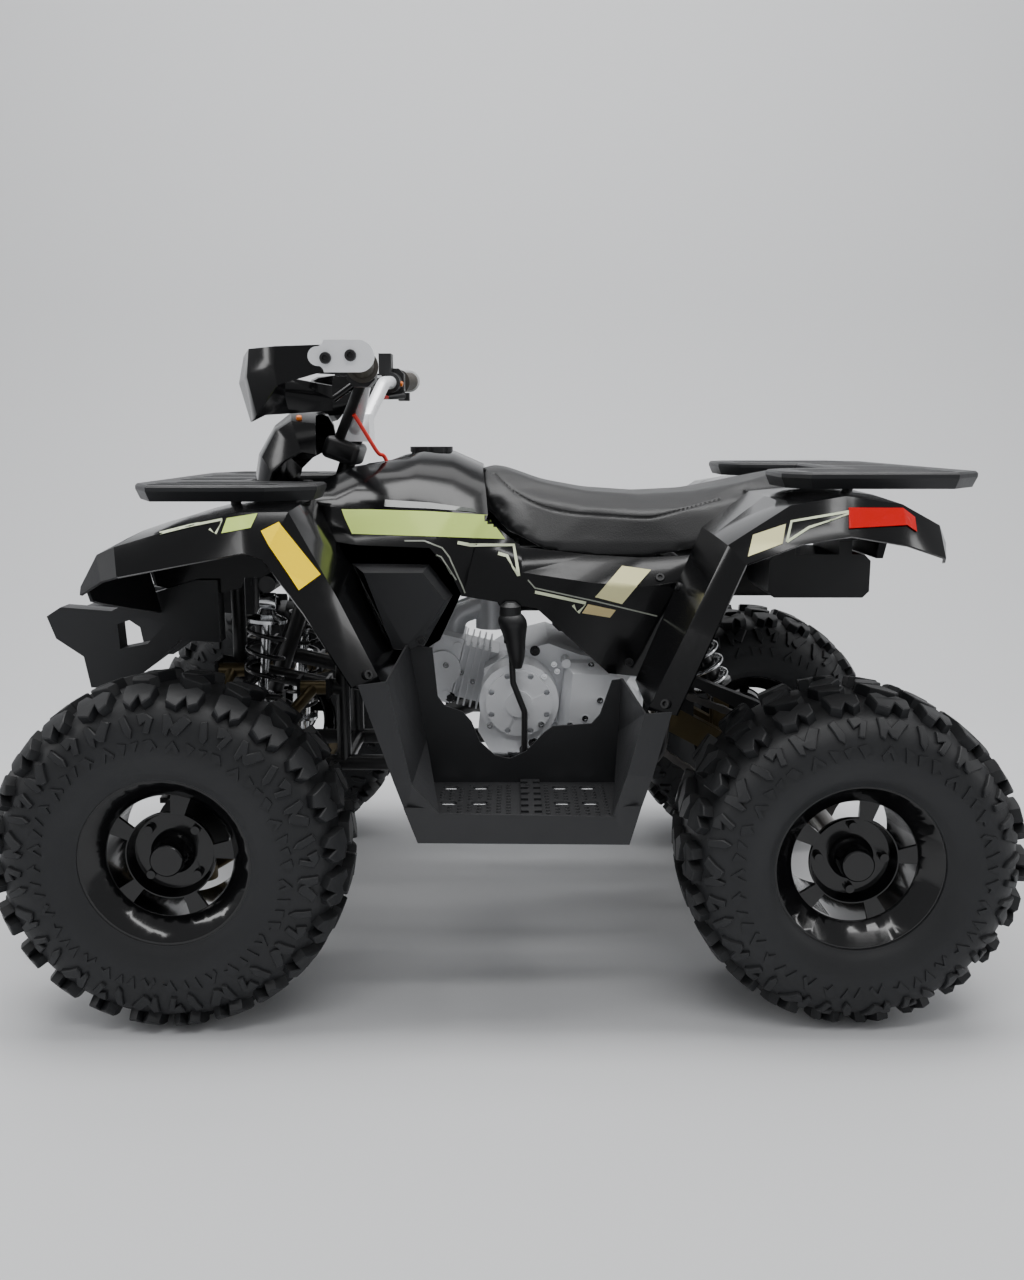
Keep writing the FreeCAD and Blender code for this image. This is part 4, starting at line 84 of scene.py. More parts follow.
studio = {
    "wallBehind": 2.6,
    "bend": 1.3,
    "bendSteps": 16,
    "front": 9.0,
    "halfWidth": 9.0,
    "height": 5.0,
    "tone": (0.68, 0.685, 0.695),
    "roughness": 0.75,
    "lights": [  # name, place, aim, size, power
        ("overheadStrip", (0.0, -0.1, 3.2), (0.0, 0.1, 0.2), (3.6, 0.9), 84),
        ("leftStrip", (-3.4, -1.0, 2.0), (0.0, 0.0, 0.5), (0.4, 2.2), 24),
        ("rightStrip", (3.6, -0.9, 1.9), (0.0, 0.0, 0.5), (0.4, 2.2), 20),
        ("frontStrip", (0.3, -2.2, 3.4), (0.0, 0.0, 0.35), (3.2, 0.3), 32),
        ("backWash", (0.0, 1.2, 3.6), (0.0, 2.7, 1.0), (5.0, 1.2), 48),
    ],
    "skyTone": (0.80, 0.81, 0.83),
    "skyPower": 0.55,
}


def linked(name, data):
    thing = bpy.data.objects.new(name, data)
    bpy.context.scene.collection.objects.link(thing)
    return thing


def only(kind, geom):
    return [g for g in geom if isinstance(g, kind)]


def pulledSheet(bm, edges, vec):
    # Pulls a sheet out of its end, and gives back the new end
    made = bmesh.ops.extrude_edge_only(bm, edges=edges)["geom"]
    bmesh.ops.translate(bm, verts=only(bmesh.types.BMVert, made), vec=vec)
    return only(bmesh.types.BMEdge, made)


def buildStudio():
    bm = bmesh.new()
    corners = [bm.verts.new((x, -studio["front"], 0)) for x in (-studio["halfWidth"], studio["halfWidth"])]
    rise = studio["wallBehind"] - studio["bend"]
    lead = pulledSheet(bm, [bm.edges.new(corners)], (0, studio["front"] + rise, 0))
    curve = bmesh.ops.spin(bm, geom=lead, axis=(1, 0, 0), cent=(0, rise, studio["bend"]), angle=pi / 2,
                           steps=studio["bendSteps"])
    pulledSheet(bm, only(bmesh.types.BMEdge, curve["geom_last"]), (0, 0, studio["height"] - studio["bend"]))
    bmesh.ops.remove_doubles(bm, verts=bm.verts[:], dist=0.0001)
    bmesh.ops.recalc_face_normals(bm, faces=bm.faces[:])
    sheet = bpy.data.meshes.new("studioSweep")
    bm.to_mesh(sheet)
    bm.free()
    for face in sheet.polygons:
        face.use_smooth = True
    paint = bpy.data.materials.new("studioPaper")
    paint.use_nodes = True
    shader = paint.node_tree.nodes["Principled BSDF"]
    shader.inputs["Base Color"].default_value = (*studio["tone"], 1)
    shader.inputs["Roughness"].default_value = studio["roughness"]
    sheet.materials.append(paint)
    linked("studioSweep", sheet)
    for name, place, aim, size, power in studio["lights"]:
        lamp = bpy.data.lights.new(name, "AREA")
        lamp.shape = "RECTANGLE"
        lamp.size, lamp.size_y = size
        lamp.energy = power
        bulb = linked(name, lamp)
        bulb.location = place
        bulb.rotation_euler = (Vector(aim) - Vector(place)).to_track_quat("-Z", "Y").to_euler()
    world = bpy.data.worlds.new("studioSky")
    world.use_nodes = True
    sky = world.node_tree.nodes["Background"]
    sky.inputs["Color"].default_value = (*studio["skyTone"], 1)
    sky.inputs["Strength"].default_value = studio["skyPower"]
    bpy.context.scene.world = world


buildStudio()
print("stage: camera and studio")


# Surface effects, each a node group that the finishes share


def newGroup(name, inputs, outputs):
    group = bpy.data.node_groups.new(name, "ShaderNodeTree")
    for label, value in inputs:
        kind = "NodeSocketColor" if isinstance(value, tuple) else "NodeSocketFloat"
        socket = group.interface.new_socket(name=label, in_out="INPUT", socket_type=kind)
        socket.default_value = value
    for label, kind in outputs:
        group.interface.new_socket(name=label, in_out="OUTPUT", socket_type=kind)
    return group, group.nodes.new("NodeGroupInput"), group.nodes.new("NodeGroupOutput")


def addNode(tree, kind, **settings):
    node = tree.nodes.new(kind)
    for key, value in settings.items():
        setattr(node, key, value)
    return node


def wired(tree, *runs):
    # Each run names a node, its output, the next node and its input
    for source, out, target, into in runs:
        tree.links.new(source.outputs[out], target.inputs[into])


def buildMouldGrain():
    # Fine pebbled grain of moulded plastic or vinyl, as a normal
    group, start, end = newGroup("mouldGrain", [("Scale", 900.0), ("Depth", 0.2), ("Cells", 0.5)],
                                 [("Normal", "NodeSocketVector")])
    place = addNode(group, "ShaderNodeTexCoord")
    cells = addNode(group, "ShaderNodeTexVoronoi", feature="SMOOTH_F1")
    cloud = addNode(group, "ShaderNodeTexNoise")
    cloud.inputs["Detail"].default_value = 4
    blend = addNode(group, "ShaderNodeMix", data_type="FLOAT")
    bump = addNode(group, "ShaderNodeBump")
    bump.inputs["Distance"].default_value = 0.0006
    wired(group, (place, "Object", cells, "Vector"), (place, "Object", cloud, "Vector"),
          (start, "Scale", cells, "Scale"), (start, "Scale", cloud, "Scale"), (start, "Cells", blend, 0),
          (cloud, "Fac", blend, 2), (cells, "Distance", blend, 3), (blend, 0, bump, "Height"),
          (start, "Depth", bump, "Strength"), (bump, "Normal", end, "Normal"))
    return group


def buildToneDrift():
    # Slow change of shade over a surface, with a little dust where it faces up
    group, start, end = newGroup(
        "toneDrift",
        [("Color", (0.5, 0.5, 0.5, 1)), ("Dust Color", (0.35, 0.33, 0.30, 1)), ("Drift", 0.1), ("Dust", 0.0),
         ("Scale", 14.0)],
        [("Color", "NodeSocketColor")])
    place = addNode(group, "ShaderNodeTexCoord")
    cloud = addNode(group, "ShaderNodeTexNoise")
    cloud.inputs["Detail"].default_value = 6
    shade = addNode(group, "ShaderNodeMapRange")
    shade.inputs["To Min"].default_value = -1
    lift = addNode(group, "ShaderNodeMath", operation="MULTIPLY_ADD")
    lift.inputs[2].default_value = 1
    tint = addNode(group, "ShaderNodeVectorMath", operation="SCALE")
    facing = addNode(group, "ShaderNodeNewGeometry")
    split = addNode(group, "ShaderNodeSeparateXYZ")
    up = addNode(group, "ShaderNodeMath", operation="MAXIMUM")
    up.inputs[1].default_value = 0
    fall = addNode(group, "ShaderNodeMath", operation="MULTIPLY")
    amount = addNode(group, "ShaderNodeMath", operation="MULTIPLY")
    cover = addNode(group, "ShaderNodeMix", data_type="RGBA")
    wired(group, (place, "Object", cloud, "Vector"), (start, "Scale", cloud, "Scale"),
          (cloud, "Fac", shade, "Value"), (shade, "Result", lift, 0), (start, "Drift", lift, 1),
          (start, "Color", tint, 0), (lift, 0, tint, "Scale"), (facing, "Normal", split, 0),
          (split, "Z", up, 0), (up, 0, fall, 0), (cloud, "Fac", fall, 1), (fall, 0, amount, 0),
          (start, "Dust", amount, 1), (amount, 0, cover, 0), (tint, 0, cover, 6),
          (start, "Dust Color", cover, 7), (cover, 2, end, "Color"))
    return group


def buildRubMarks():
    # Roughness that varies in soft patches and hairline rubs
    group, start, end = newGroup("rubMarks", [("Roughness", 0.4), ("Spread", 0.08), ("Scale", 30.0)],
                                 [("Roughness", "NodeSocketFloat")])
    place = addNode(group, "ShaderNodeTexCoord")
    cloud = addNode(group, "ShaderNodeTexNoise")
    cloud.inputs["Detail"].default_value = 5
    hair = addNode(group, "ShaderNodeTexNoise")
    hair.inputs["Detail"].default_value = 2
    stretch = addNode(group, "ShaderNodeMapping")
    stretch.inputs["Scale"].default_value = (1, 9, 3)
    both = addNode(group, "ShaderNodeMath", operation="MULTIPLY")
    centre = addNode(group, "ShaderNodeMapRange")
    centre.inputs["From Max"].default_value = 0.5
    centre.inputs["To Min"].default_value = -1
    total = addNode(group, "ShaderNodeMath", operation="MULTIPLY_ADD")
    wired(group, (place, "Object", cloud, "Vector"), (place, "Object", stretch, "Vector"),
          (stretch, "Vector", hair, "Vector"), (start, "Scale", cloud, "Scale"),
          (start, "Scale", hair, "Scale"), (cloud, "Fac", both, 0), (hair, "Fac", both, 1),
          (both, 0, centre, "Value"), (centre, "Result", total, 0), (start, "Spread", total, 1),
          (start, "Roughness", total, 2), (total, 0, end, "Roughness"))
    return group


effects = {"grain": buildMouldGrain(), "tone": buildToneDrift(), "rub": buildRubMarks()}


def finish(name, color, rough, metal=0.0, coat=0.0, grain=(900.0, 0.15, 0.5), drift=0.12, dust=0.0,
           spread=0.05, patch=14.0, dustColor=(0.30, 0.28, 0.25), spec=0.5, paintedGlow=0.0):
    # One finish of the machine; colour, roughness and normal come from the shared groups, and paintedGlow is
    # painted light: an emission in the finish's own colour on parts that are no lamps
    material = bpy.data.materials.new(name)
    material.use_nodes = True
    tree = material.node_tree
    shader = tree.nodes["Principled BSDF"]
    plain = {"Metallic": metal, "Coat Weight": coat, "Coat Roughness": 0.03, "Specular IOR Level": spec,
             "Emission Color": (*color, 1), "Emission Strength": paintedGlow}
    tone = addNode(tree, "ShaderNodeGroup", node_tree=effects["tone"])
    rub = addNode(tree, "ShaderNodeGroup", node_tree=effects["rub"])
    pebble = addNode(tree, "ShaderNodeGroup", node_tree=effects["grain"])
    shades = {"Color": (*color, 1), "Dust Color": (*dustColor, 1), "Drift": drift, "Dust": dust,
              "Scale": patch}
    for node, values in ((shader, plain), (tone, shades), (rub, {"Roughness": rough, "Spread": spread}),
                         (pebble, dict(zip(("Scale", "Depth", "Cells"), grain)))):
        for key, value in values.items():
            node.inputs[key].default_value = value
    wired(tree, (tone, "Color", shader, "Base Color"), (rub, "Roughness", shader, "Roughness"),
          (pebble, "Normal", shader, "Normal"))
    return material


evenGrain = (60, 0.02, 0.2)
lensGrain = (260, 0.35, 1.0)
film = {"rough": 0.30, "spec": 0.2, "grain": evenGrain, "drift": 0.05}
finishSet = {
    "glossBlack": dict(color=(0.003, 0.003, 0.0034), rough=0.15, coat=0.08, spec=0.30, grain=evenGrain,
                       spread=0.03),
    "charcoal": dict(color=(0.017, 0.0176, 0.0195), rough=0.46, spec=0.45, grain=(1400, 0.30, 0.5),
                     dust=0.03),
    "seatVinyl": dict(color=(0.007, 0.007, 0.0075), rough=0.44, grain=(520, 0.35, 0.9), drift=0.2),
    "tyreRubber": dict(color=(0.016, 0.0168, 0.0185), rough=0.50, spec=0.35, grain=(420, 0.22, 0.3),
                       drift=0.25, dust=0.04, patch=9),
    "rimBlack": dict(color=(0.004, 0.004, 0.0045), rough=0.13, coat=0.15, spec=0.40, grain=(50, 0.01, 0.2),
                     spread=0.03),
    "frameSatin": dict(color=(0.009, 0.009, 0.010), rough=0.38, grain=(500, 0.12, 0.2), dust=0.03),
    "bronzeCoat": dict(color=(0.150, 0.118, 0.062), rough=0.36, metal=0.75, grain=(380, 0.10, 0.2),
                       drift=0.2),
    "castSilver": dict(color=(0.80, 0.81, 0.83), rough=0.38, metal=0.25, grain=(700, 0.22, 0.6), drift=0.15),
    "satinSilver": dict(color=(0.92, 0.93, 0.95), rough=0.30, metal=0.30, grain=(300, 0.05, 0.1)),
    "gripRubber": dict(color=(0.045, 0.039, 0.032), rough=0.62, grain=(800, 0.25, 0.4)),
    "controlBlack": dict(color=(0.009, 0.009, 0.010), rough=0.46, grain=(1200, 0.25, 0.5)),
    "exhaustBlack": dict(color=(0.010, 0.010, 0.010), rough=0.55, metal=0.3, grain=(600, 0.2, 0.3),
                         dust=0.03),
    "chainSteel": dict(color=(0.22, 0.21, 0.20), rough=0.34, metal=0.9, grain=(400, 0.08, 0.2), drift=0.3),
    "springBlack": dict(color=(0.012, 0.012, 0.013), rough=0.28, coat=0.3, grain=(300, 0.04, 0.2)),
    "brightSteel": dict(color=(0.72, 0.73, 0.74), rough=0.20, metal=1.0, grain=(300, 0.04, 0.1)),
    # painted glow: the lime film emits its own colour, painted light that keeps it bright
    "limeDecal": dict(film, color=(0.62, 0.79, 0.20), paintedGlow=0.14),
    "creamDecal": dict(film, color=(0.88, 0.84, 0.46)),
    "tanDecal": dict(film, color=(0.68, 0.56, 0.28)),
    "paleDecal": dict(film, color=(0.76, 0.82, 0.58)),
    "darkDecal": dict(color=(0.018, 0.024, 0.017), rough=0.22, coat=0.6, grain=evenGrain, drift=0.4,
                      patch=40),
    # painted glow: the yellow and red lenses emit their own colour though no lamp is lit
    "yellowLens": dict(color=(1.0, 0.70, 0.0), rough=0.30, spec=0.05, paintedGlow=0.42, grain=lensGrain, drift=0.06),
    "redLens": dict(color=(0.55, 0.004, 0.004), rough=0.20, spec=0.2, paintedGlow=0.12, grain=lensGrain, drift=0.06),
    "redPlastic": dict(color=(0.55, 0.02, 0.015), rough=0.35, grain=(300, 0.05, 0.2)),
    "orangePlastic": dict(color=(0.75, 0.17, 0.01), rough=0.35, grain=(300, 0.05, 0.2)),
    "cordRed": dict(color=(0.78, 0.03, 0.02), rough=0.45, grain=(300, 0.05, 0.2)),
    "hoseBlack": dict(color=(0.008, 0.008, 0.009), rough=0.42, grain=(500, 0.1, 0.2)),
    "threadGrey": dict(color=(0.020, 0.020, 0.021), rough=0.70, grain=(2400, 0.4, 0.5)),
    # painted highlight: a light colour for strokes that stand in for light caught on creases and edges
    "paintedEdgeHighlight": dict(color=(0.30, 0.32, 0.27), rough=0.30, coat=0.3, grain=evenGrain),
}
finishes = {name: finish(name, **look) for name, look in finishSet.items()}


def lensGlass():
    material = bpy.data.materials.new("lensClear")
    material.use_nodes = True
    glass = {"Base Color": (0.92, 0.94, 0.96, 1), "Roughness": 0.04, "Transmission Weight": 0.9, "IOR": 1.45}
    for key, value in glass.items():
        material.node_tree.nodes["Principled BSDF"].inputs[key].default_value = value
    return material


finishes["lensClear"] = lensGlass()
print("stage: finishes,", len(finishes))

nodeFinish = {
    "glossBlack": ["front_body", "cowl", "tank_cover", "side_panels", "rear_body", "handguards"],
    "charcoal": ["fender_tips", "knee_covers", "front_rack", "rear_rack", "bumper", "footwell_left",
                 "footwell_right"],
    "seatVinyl": ["seat"],
    "tyreRubber": ["tyre_front_left", "tyre_front_right", "rear_tyres"],
    "rimBlack": ["rim_front_left", "rim_front_right", "rear_rims"],
    "frameSatin": ["frame", "steering_column", "knuckle_left", "knuckle_right", "brake_pedal"],
    "bronzeCoat": ["a_arms", "swingarm"],
    "castSilver": ["engine_case", "engine_cylinder"],
    "satinSilver": ["handlebar"],
    "gripRubber": ["grips"],
    "controlBlack": ["controls", "air_box", "tail_box", "fuel_cap", "chain_guard", "shift_lever"],
    "exhaustBlack": ["exhaust"],
    "chainSteel": ["chain", "rear_axle", "tie_rod_left", "tie_rod_right"],
    "springBlack": ["front_shocks", "rear_shock"],
    "lensClear": ["headlights"],
    "redLens": ["taillight", "reflectors_rear"],
    "yellowLens": ["reflectors_front"],
}
finishOf = {node: name for name, members in nodeFinish.items() for node in members}
for node, name in finishOf.items():
    mesh = nodes[node].data
    if not mesh.materials:
        mesh.materials.append(finishes[name])
    for held in nodes[node].material_slots:
        held.material = finishes[name]


# Helpers: making a piece from a bmesh, and finding a place on what carries it


def piece(name, bm, body, look, smooth=35, replaced=()):
    # Turns a bmesh into an object that rides on a body and has a finish
    mesh = bpy.data.meshes.new(name)
    bm.to_mesh(mesh)
    bm.free()
    mesh.materials.append(finishes[look])
    thing = linked(name, mesh)
    if smooth:
        mesh.polygons.foreach_set("use_smooth", [True] * len(mesh.polygons))
        mesh.set_sharp_from_angle(angle=radians(smooth))
    if body:  # a piece that runs between two bodies rides on neither
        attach(thing, body)
    if replaced:
        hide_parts(*replaced)
    return thing


def solidOf(node):
    # A merged copy of a node's mesh as a bmesh
    bm = bmesh.new()
    bm.from_mesh(nodes[node].data)
    bmesh.ops.remove_doubles(bm, verts=bm.verts[:], dist=0.00002)
    return bm


def softened(node, width, segments=2, angle=28, flat=1.5, shaped=None):
    # The node with its hard edges rounded as a mould or a press leaves them
    bm = solidOf(node)
    if shaped:
        shaped(bm)
    bmesh.ops.dissolve_limit(bm, angle_limit=radians(flat), verts=bm.verts[:], edges=bm.edges[:])
    thing = piece(node + "Skin", bm, bodyOf[node], finishOf[node], replaced=(node,))
    rounding = thing.modifiers.new("edges", "BEVEL")
    rounding.width = width
    rounding.segments = segments
    rounding.limit_method = "ANGLE"
    rounding.angle_limit = radians(angle)
    rounding.harden_normals = True
    return thing


skins = {}


def skinTree(names):
    # Search tree over the solids that carry a part
    key = tuple(sorted(names))
    if key not in skins:
        bm = bmesh.new()
        for node in key:
            bm.from_mesh(nodes[node].data)
        skins[key] = BVHTree.FromBMesh(bm)
        bm.free()
    return skins[key]


def onto(px, py, names):
    # Where the photograph's sight line meets a solid, and which way its surface faces
    place, facing, _, _ = skinTree(names).ray_cast(camera.location, sightLine(px, py))
    return place, facing


def atDepth(px, py, y):
    # Where the photograph's sight line crosses an upright plane
    ray = sightLine(px, py)
    return camera.location + ray * ((y - camera.location.y) / ray.y)


def spunRing(bm, outline, steps):
    # Turns an outline of (radius, height) pairs round Z as one closed skin
    ring = [bm.verts.new((radius, 0, height)) for radius, height in outline]
    edges = [bm.edges.new(pair) for pair in zip(ring, ring[1:])]
    before = set(bm.verts)
    bmesh.ops.spin(bm, geom=ring + edges, axis=(0, 0, 1), cent=(0, 0, 0), angle=2 * pi, steps=steps,
                   use_merge=True)
    made = [v for v in bm.verts if v not in before] + ring
    bmesh.ops.remove_doubles(bm, verts=[v for v in made if v.is_valid], dist=0.00001)


def stood(bm, foot, run):
    # Moves a piece made along Z so that it stands on foot and runs the given way
    turn = run.normalized().to_track_quat("Z", "Y").to_matrix().to_4x4()
    bmesh.ops.transform(bm, matrix=Matrix.Translation(foot) @ turn, verts=bm.verts[:])


def roundedPeg(wide, narrow, tall, sides, edge):
    # A round peg along Z from its foot at 0, with both rims rounded
    bm = bmesh.new()
    bmesh.ops.create_cone(bm, cap_ends=True, segments=sides, radius1=wide, radius2=narrow, depth=tall,
                          matrix=Matrix.Translation((0, 0, tall / 2)))
    rim = [e for e in bm.edges if len(e.link_faces) == 2 and e.calc_face_angle() > 1]
    bmesh.ops.bevel(bm, geom=rim, offset=edge, affect="EDGES", segments=2, profile=0.5, material=-1)
    return bm


def addInto(bm, *parts):
    # Pours whole pieces into one bmesh
    for part in parts:
        spare = bpy.data.meshes.new("spare")
        part.to_mesh(spare)
        part.free()
        bm.from_mesh(spare)
        bpy.data.meshes.remove(spare)
    return bm


def mirroredOver(bm):
    # Adds the other side's copy
    twin = bmesh.ops.duplicate(bm, geom=bm.verts[:] + bm.edges[:] + bm.faces[:])["geom"]
    bmesh.ops.scale(bm, verts=only(bmesh.types.BMVert, twin), vec=(1, -1, 1))
    bmesh.ops.reverse_faces(bm, faces=only(bmesh.types.BMFace, twin))


def helix(bm, radius, wire, low, high, turns, sides=8, around=20):
    # A coil of wire along Z from low to high
    place = Matrix.Translation((radius, 0, low)) @ Matrix.Rotation(pi / 2, 4, "X")
    ring = bmesh.ops.create_circle(bm, segments=sides, radius=wire, matrix=place, cap_ends=True)["verts"]
    faces = list({f for v in ring for f in v.link_faces})
    steps = int(turns * around)
    bmesh.ops.spin(bm, geom=faces, axis=(0, 0, 1), cent=(0, 0, 0), dvec=(0, 0, (high - low) / steps),
                   angle=2 * pi * turns, steps=steps)
    bmesh.ops.recalc_face_normals(bm, faces=bm.faces[:])


# Tyres: a round carcass, chunky blocks over the shoulder, thin raised shapes down the sidewall

tyreSet = {
    "beadRadius": 0.102,
    "lugHeight": 0.014,
    "sunk": 0.0015,  # how far a block stands in the carcass
    "narrowed": (0.90, 0.93),  # a block's top as a share of its foot, on the tread and on the sidewall
    "edge": 0.0012,
    "treadAbove": 0.5,  # shares of the lug height, above which a block is tread, or has its rim edged
    "edgedAbove": 0.3,
    "cut": 0.011,  # the blocks are cut at this distance, so that they follow the carcass
    "turned": {-1: 0.3, 1: 1.1},  # how far each side's tyre is turned, in radians
    "profile": [  # shares of the half width, and of the height from bead to crown
        (0, 1), (0.25, 0.995), (0.5, 0.972), (0.70, 0.925), (0.84, 0.84), (0.93, 0.71), (0.965, 0.55),
        (0.95, 0.38), (0.89, 0.22), (0.82, 0.12), (0.80, 0.095), (0.75, 0.085), (0.68, 0.02), (0.64, 0)],
    "aroundSteps": 72,
    "blocks": [  # outline over one pitch: place along the pitch, place from crown to bead; then height share
        ([(0.03, 0.0), (0.30, 0.0), (0.44, 0.13), (0.36, 0.19), (0.12, 0.12)], 1.0),
        ([(0.52, 0.0), (0.72, 0.0), (0.88, 0.11), (0.80, 0.18), (0.58, 0.13)], 1.0),
        ([(0.02, 0.23), (0.13, 0.20), (0.22, 0.27), (0.34, 0.22), (0.45, 0.26), (0.43, 0.37), (0.33, 0.40),
          (0.27, 0.34), (0.19, 0.41), (0.05, 0.38)], 1.0),
        ([(0.56, 0.22), (0.74, 0.20), (0.93, 0.25), (0.91, 0.36), (0.82, 0.40), (0.76, 0.34), (0.68, 0.41),
          (0.58, 0.37)], 1.0),
        ([(0.04, 0.43), (0.12, 0.42), (0.19, 0.49), (0.31, 0.42), (0.41, 0.45), (0.27, 0.56), (0.20, 0.55),
          (0.15, 0.52), (0.12, 0.57), (0.06, 0.55)], 0.34),
        ([(0.50, 0.44), (0.58, 0.42), (0.66, 0.53), (0.63, 0.58), (0.56, 0.55)], 0.34),
        ([(0.72, 0.43), (0.83, 0.42), (0.94, 0.46), (0.88, 0.56), (0.80, 0.55), (0.84, 0.48), (0.76, 0.50)],
         0.34),
        ([(0.10, 0.66), (0.21, 0.59), (0.33, 0.66), (0.29, 0.68), (0.21, 0.63), (0.13, 0.69)], 0.16),
        ([(0.40, 0.59), (0.54, 0.61), (0.46, 0.68)], 0.16),
        ([(0.59, 0.61), (0.72, 0.60), (0.64, 0.67)], 0.16),
        ([(0.78, 0.60), (0.90, 0.59), (0.99, 0.65), (0.93, 0.64), (0.87, 0.68)], 0.16),
    ],
    "kinds": {
        "front": {"radius": 0.240, "width": 0.178, "pitches": 12, "x": -0.450, "y": 0.368},
        "rear": {"radius": 0.230, "width": 0.235, "pitches": 11, "x": 0.460, "y": 0.3395},
    },
}


def smoothLine(points, parts=4):
    # A smooth run through the points
    line = []
    for k in range(len(points) - 1):
        a, b = points[max(k - 1, 0)], points[k]
        c, d = points[k + 1], points[min(k + 2, len(points) - 1)]
        for j in range(parts):
            t = j / parts
            line.append(tuple(
                0.5 * (2 * b[i] + (c[i] - a[i]) * t + (2 * a[i] - 5 * b[i] + 4 * c[i] - d[i]) * t * t
                       + (3 * b[i] - a[i] - 3 * c[i] + d[i]) * t ** 3) for i in range(len(b))))
    return line + [tuple(points[-1])]


def tyreSection(kind):
    tall = kind["radius"] - tyreSet["lugHeight"] - tyreSet["beadRadius"]
    half = kind["width"] / 2
    return [Vector((across * half, tyreSet["beadRadius"] + up * tall))
            for across, up in smoothLine(tyreSet["profile"])]


def alongSection(section, share):
    # Place and outward direction at a share of the way from the crown to the bead
    steps = [(b - a).length for a, b in zip(section, section[1:])]
    left = share * sum(steps)
    for a, b, step in zip(section, section[1:], steps):
        if left <= step or b is section[-1]:
            run = (b - a).normalized()
            return a + run * left, Vector((-run.y, run.x))
        left -= step


def tyreBlocks(kind, section):
    # The raised blocks of one pitch, laid flat: x along the tread, y from crown to bead, z up
    bm = bmesh.new()
    pitch = 2 * pi * kind["radius"] / kind["pitches"]
    deep = sum((b - a).length for a, b in zip(section, section[1:]))
    sunk, cut = tyreSet["sunk"], tyreSet["cut"]
    for outline, share in tyreSet["blocks"]:
        block = bmesh.new()
        face = block.faces.new([block.verts.new((u * pitch, s * deep, -sunk)) for u, s in outline])
        top = only(bmesh.types.BMVert, bmesh.ops.extrude_face_region(block, geom=[face])["geom"])
        centre = sum((v.co for v in top), Vector()) / len(top)
        shrink = tyreSet["narrowed"][0 if share > tyreSet["treadAbove"] else 1]
        bmesh.ops.translate(block, verts=top, vec=(0, 0, tyreSet["lugHeight"] * share + sunk))
        bmesh.ops.scale(block, verts=top, vec=(shrink, shrink, 1), space=Matrix.Translation(-centre))
        if share > tyreSet["edgedAbove"]:  # the thin shapes keep their sharp rim
            rim = [e for e in block.edges if all(v in top for v in e.verts)]
            bmesh.ops.bevel(block, geom=rim, offset=tyreSet["edge"], affect="EDGES", segments=1, profile=0.5,
                            material=-1)
        for k in range(1, int(deep / cut) + 1):
            ys = [v.co.y for v in block.verts]
            if min(ys) < k * cut < max(ys):
                bmesh.ops.bisect_plane(block, geom=block.verts[:] + block.edges[:] + block.faces[:],
                                       plane_co=(0, k * cut, 0), plane_no=(0, 1, 0))
        addInto(bm, block)
    return bm, pitch, deep


def tyreSolid(kind):
    # One tyre round the Y axis at the origin: both sides' blocks, half a pitch apart, then the carcass
    section = tyreSection(kind)
    flat, pitch, deep = tyreBlocks(kind, section)
    bm = bmesh.new()
    for side, shift in ((1, 0.0), (-1, 0.5)):
        part = flat.copy()
        for v in part.verts:
            (across, up), (nx, nz) = alongSection(section, v.co.y / deep)
            angle = 2 * pi / kind["pitches"] * (v.co.x / pitch + shift)
            reach = up + nz * v.co.z
            v.co = (reach * sin(angle), side * (across + nx * v.co.z), reach * cos(angle))
        addInto(bm, part)
    flat.free()
    first = bm.verts[:] + bm.edges[:] + bm.faces[:]
    for k in range(1, kind["pitches"]):
        twin = bmesh.ops.duplicate(bm, geom=first)["geom"]
        bmesh.ops.rotate(bm, verts=only(bmesh.types.BMVert, twin), cent=(0, 0, 0),
                         matrix=Matrix.Rotation(2 * pi * k / kind["pitches"], 3, "Y"))
    loop = [bm.verts.new((0, -p.x, p.y)) for p in reversed(section)] + [
        bm.verts.new((0, p.x, p.y)) for p in section[1:]]
    edges = [bm.edges.new(pair) for pair in zip(loop, loop[1:] + loop[:1])]
    bmesh.ops.spin(bm, geom=loop + edges, axis=(0, 1, 0), cent=(0, 0, 0), angle=2 * pi,
                   steps=tyreSet["aroundSteps"], use_merge=True)
    bmesh.ops.remove_doubles(bm, verts=bm.verts[:], dist=0.00001)
    bmesh.ops.recalc_face_normals(bm, faces=bm.faces[:])
    return bm


def buildTyres():
    for label, kind in tyreSet["kinds"].items():
        source = tyreSolid(kind)
        for side, hand in ((-1, "left"), (1, "right")):
            bm = source.copy()
            bmesh.ops.rotate(bm, verts=bm.verts[:], cent=(0, 0, 0),
                             matrix=Matrix.Rotation(tyreSet["turned"][side], 3, "Y"))
            bmesh.ops.translate(bm, verts=bm.verts[:], vec=(kind["x"], side * kind["y"], kind["radius"]))
            node = "tyre_front_" + hand if label == "front" else "rear_tyres"
            piece("tyre" + label.title() + hand.title(), bm, bodyOf[node], "tyreRubber",
                  smooth=32, replaced=(node,))
        source.free()


buildTyres()
print("stage: tyres")


# Shocks: damper body, rod, seats and a wound spring

